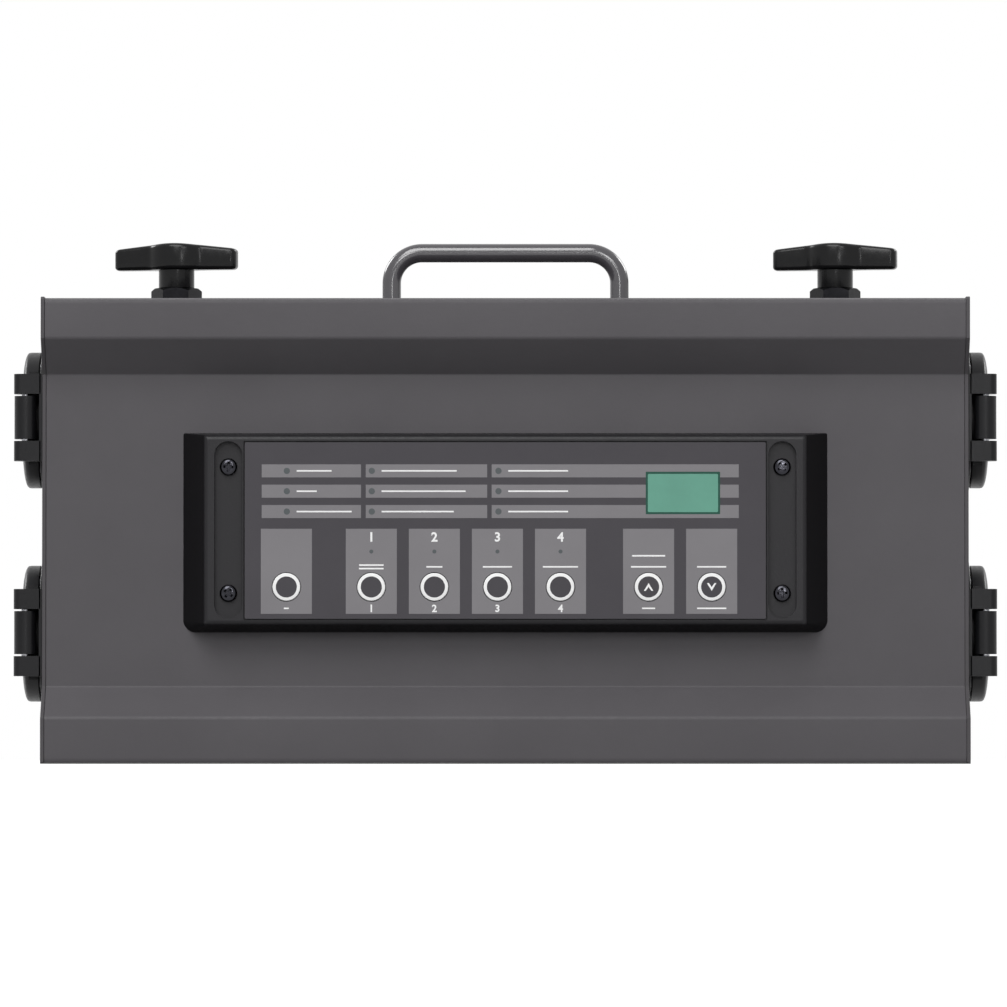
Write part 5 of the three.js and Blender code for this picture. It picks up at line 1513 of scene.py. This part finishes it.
def make_fuses():
    profile = [
        (0, -FUSE_DEPTH, 0),
        (FUSE_TUBE, -FUSE_DEPTH, FUSE_TUBE_EDGE),
        (FUSE_TUBE, WALL_GAP, 0),
        (FUSE_BEZEL, WALL_GAP, 0),
        (FUSE_BEZEL, FUSE_BEZEL_OUT, FUSE_BEZEL_EDGE),
        (FUSE_BORE, FUSE_BEZEL_OUT, FUSE_MOUTH_EDGE),
        (FUSE_BORE, -FUSE_BORE_DEPTH, 0),
        (0, -FUSE_BORE_DEPTH, 0),
    ]
    low = FUSE_BEZEL_OUT + FUSE_CAP_GAP
    top = low + FUSE_CAP_HEIGHT
    for i in CHANNELS:
        middle = middle_of(f"fuse_holder_{i}")
        place = (middle.x, CASE_REAR, middle.z)
        holder = moved(turned(rounded(profile, steps=4)), place, TO_REAR)
        add_piece(f"fuse_seat_{i}", holder, "case", FITTING_BLACK, "connector_plastic", f"fuse_holder_{i}")
        grip = prism(ribbed(FUSE_CAP_RADIUS, FUSE_CAP_RIB_DEPTH, FUSE_CAP_RIBS), FUSE_CAP_HEIGHT, low)
        span = (-FUSE_BEZEL, FUSE_BEZEL)
        slot = strip(span, (-FUSE_SLOT / 2, FUSE_SLOT / 2), (top - FUSE_SLOT_DEPTH, top + OVERRUN))
        ends = (low - FUSE_STEM_DEPTH, low + FUSE_STEM_OVERLAP)
        stem = post(FUSE_STEM_RADIUS, *ends, FUSE_STEM_EDGE, steps=POST_STEPS)
        cap = moved(together([carved(grip, slot), stem]), place, TO_REAR)
        name = f"fuse_cap_{i}"
        piece = add_piece(f"fuse_grip_{i}", cap, name, FITTING_BLACK, "connector_plastic", name)
        soften(piece, FUSE_CAP_EASE, segments=3, limit=50)


# Pieces inside, which keep their CAD shape
INSIDE = {
    "control_board": BOARD,
    "power_board": BOARD,
    "terminal_block": TERMINAL_GREEN,
    "display_module": FITTING_BLACK,
    "heat_sink": ALUMINIUM,
    "control_transformer": CORE_STEEL,
}


def finish_inside():
    for node, material in INSIDE.items():
        refinish(node, material)
    for i in CHANNELS:
        refinish(f"triac_{i}", FITTING_BLACK)
        refinish(f"choke_{i}", WINDING)


# Surroundings
WORLD_GREY = 0.22
WHITE = (1, 1, 1, 1)
FLOOR_GAP = 0.05  # keeps the floor off the case's bottom
FLOOR_HALF = 3300
FLOOR_GLOW = 0.84
FLOOR_LOOKS = {"Base Color": linear("868686"), "Roughness": 0.8, "Specular IOR Level": 0.1}


def seen_rays(material):
    """1 for what the camera sees straight, mirrored or through glass, and 0 for light on the object."""
    path = add_node(material, "ShaderNodeLightPath")
    seen = path.outputs["Is Camera Ray"]
    for kind in ("Is Glossy Ray", "Is Transmission Ray"):
        both = {0: seen, 1: path.outputs[kind]}
        seen = add_node(material, "ShaderNodeMath", {"operation": "MAXIMUM"}, both).outputs[0]
    return seen


def make_floor():
    """A pale floor that keeps the shadows and goes over into the white background."""
    shape = bmesh.new()
    bmesh.ops.create_grid(shape, x_segments=1, y_segments=1, size=FLOOR_HALF)
    bmesh.ops.translate(shape, verts=shape.verts, vec=(0, 0, -FLOOR_GAP))
    bmesh.ops.scale(shape, vec=(MM, MM, MM), verts=shape.verts)
    material = start_material("white_floor")[0]
    factors = {0: seen_rays(material), 1: FLOOR_GLOW}
    glow = add_node(material, "ShaderNodeMath", {"operation": "MULTIPLY"}, factors).outputs[0]
    inputs = {**FLOOR_LOOKS, "Emission Color": WHITE, "Emission Strength": glow}
    shader = add_node(material, "ShaderNodeBsdfPrincipled", inputs=inputs)
    add_node(material, "ShaderNodeOutputMaterial", inputs={"Surface": shader.outputs[0]})
    floor = as_object("floor", shape, material)


def make_world():
    """A white background, also in reflections, that lights the object only softly."""
    world = bpy.data.worlds.new("studio")
    world.use_nodes = True
    bpy.context.scene.world = world
    world.node_tree.nodes.clear()
    strength = add_node(world, "ShaderNodeMapRange", inputs={"Value": seen_rays(world), "To Min": WORLD_GREY})
    sky = add_node(world, "ShaderNodeBackground", inputs={"Strength": strength.outputs[0], "Color": WHITE})
    add_node(world, "ShaderNodeOutputWorld", inputs={"Surface": sky.outputs[0]})
    bpy.context.scene.view_settings.view_transform = "Standard"


add_camera()
add_lamps()
make_world()
make_floor()
finish_case()
add_case_screws()
make_console()
add_console_screws()
make_film()
make_window()
add_grey_prints()
add_lamp_windows()
add_rules()
add_figures()
make_keys()
make_handle()
make_clamps()
make_sockets()
make_connectors()
make_gland()
make_fuses()
finish_inside()
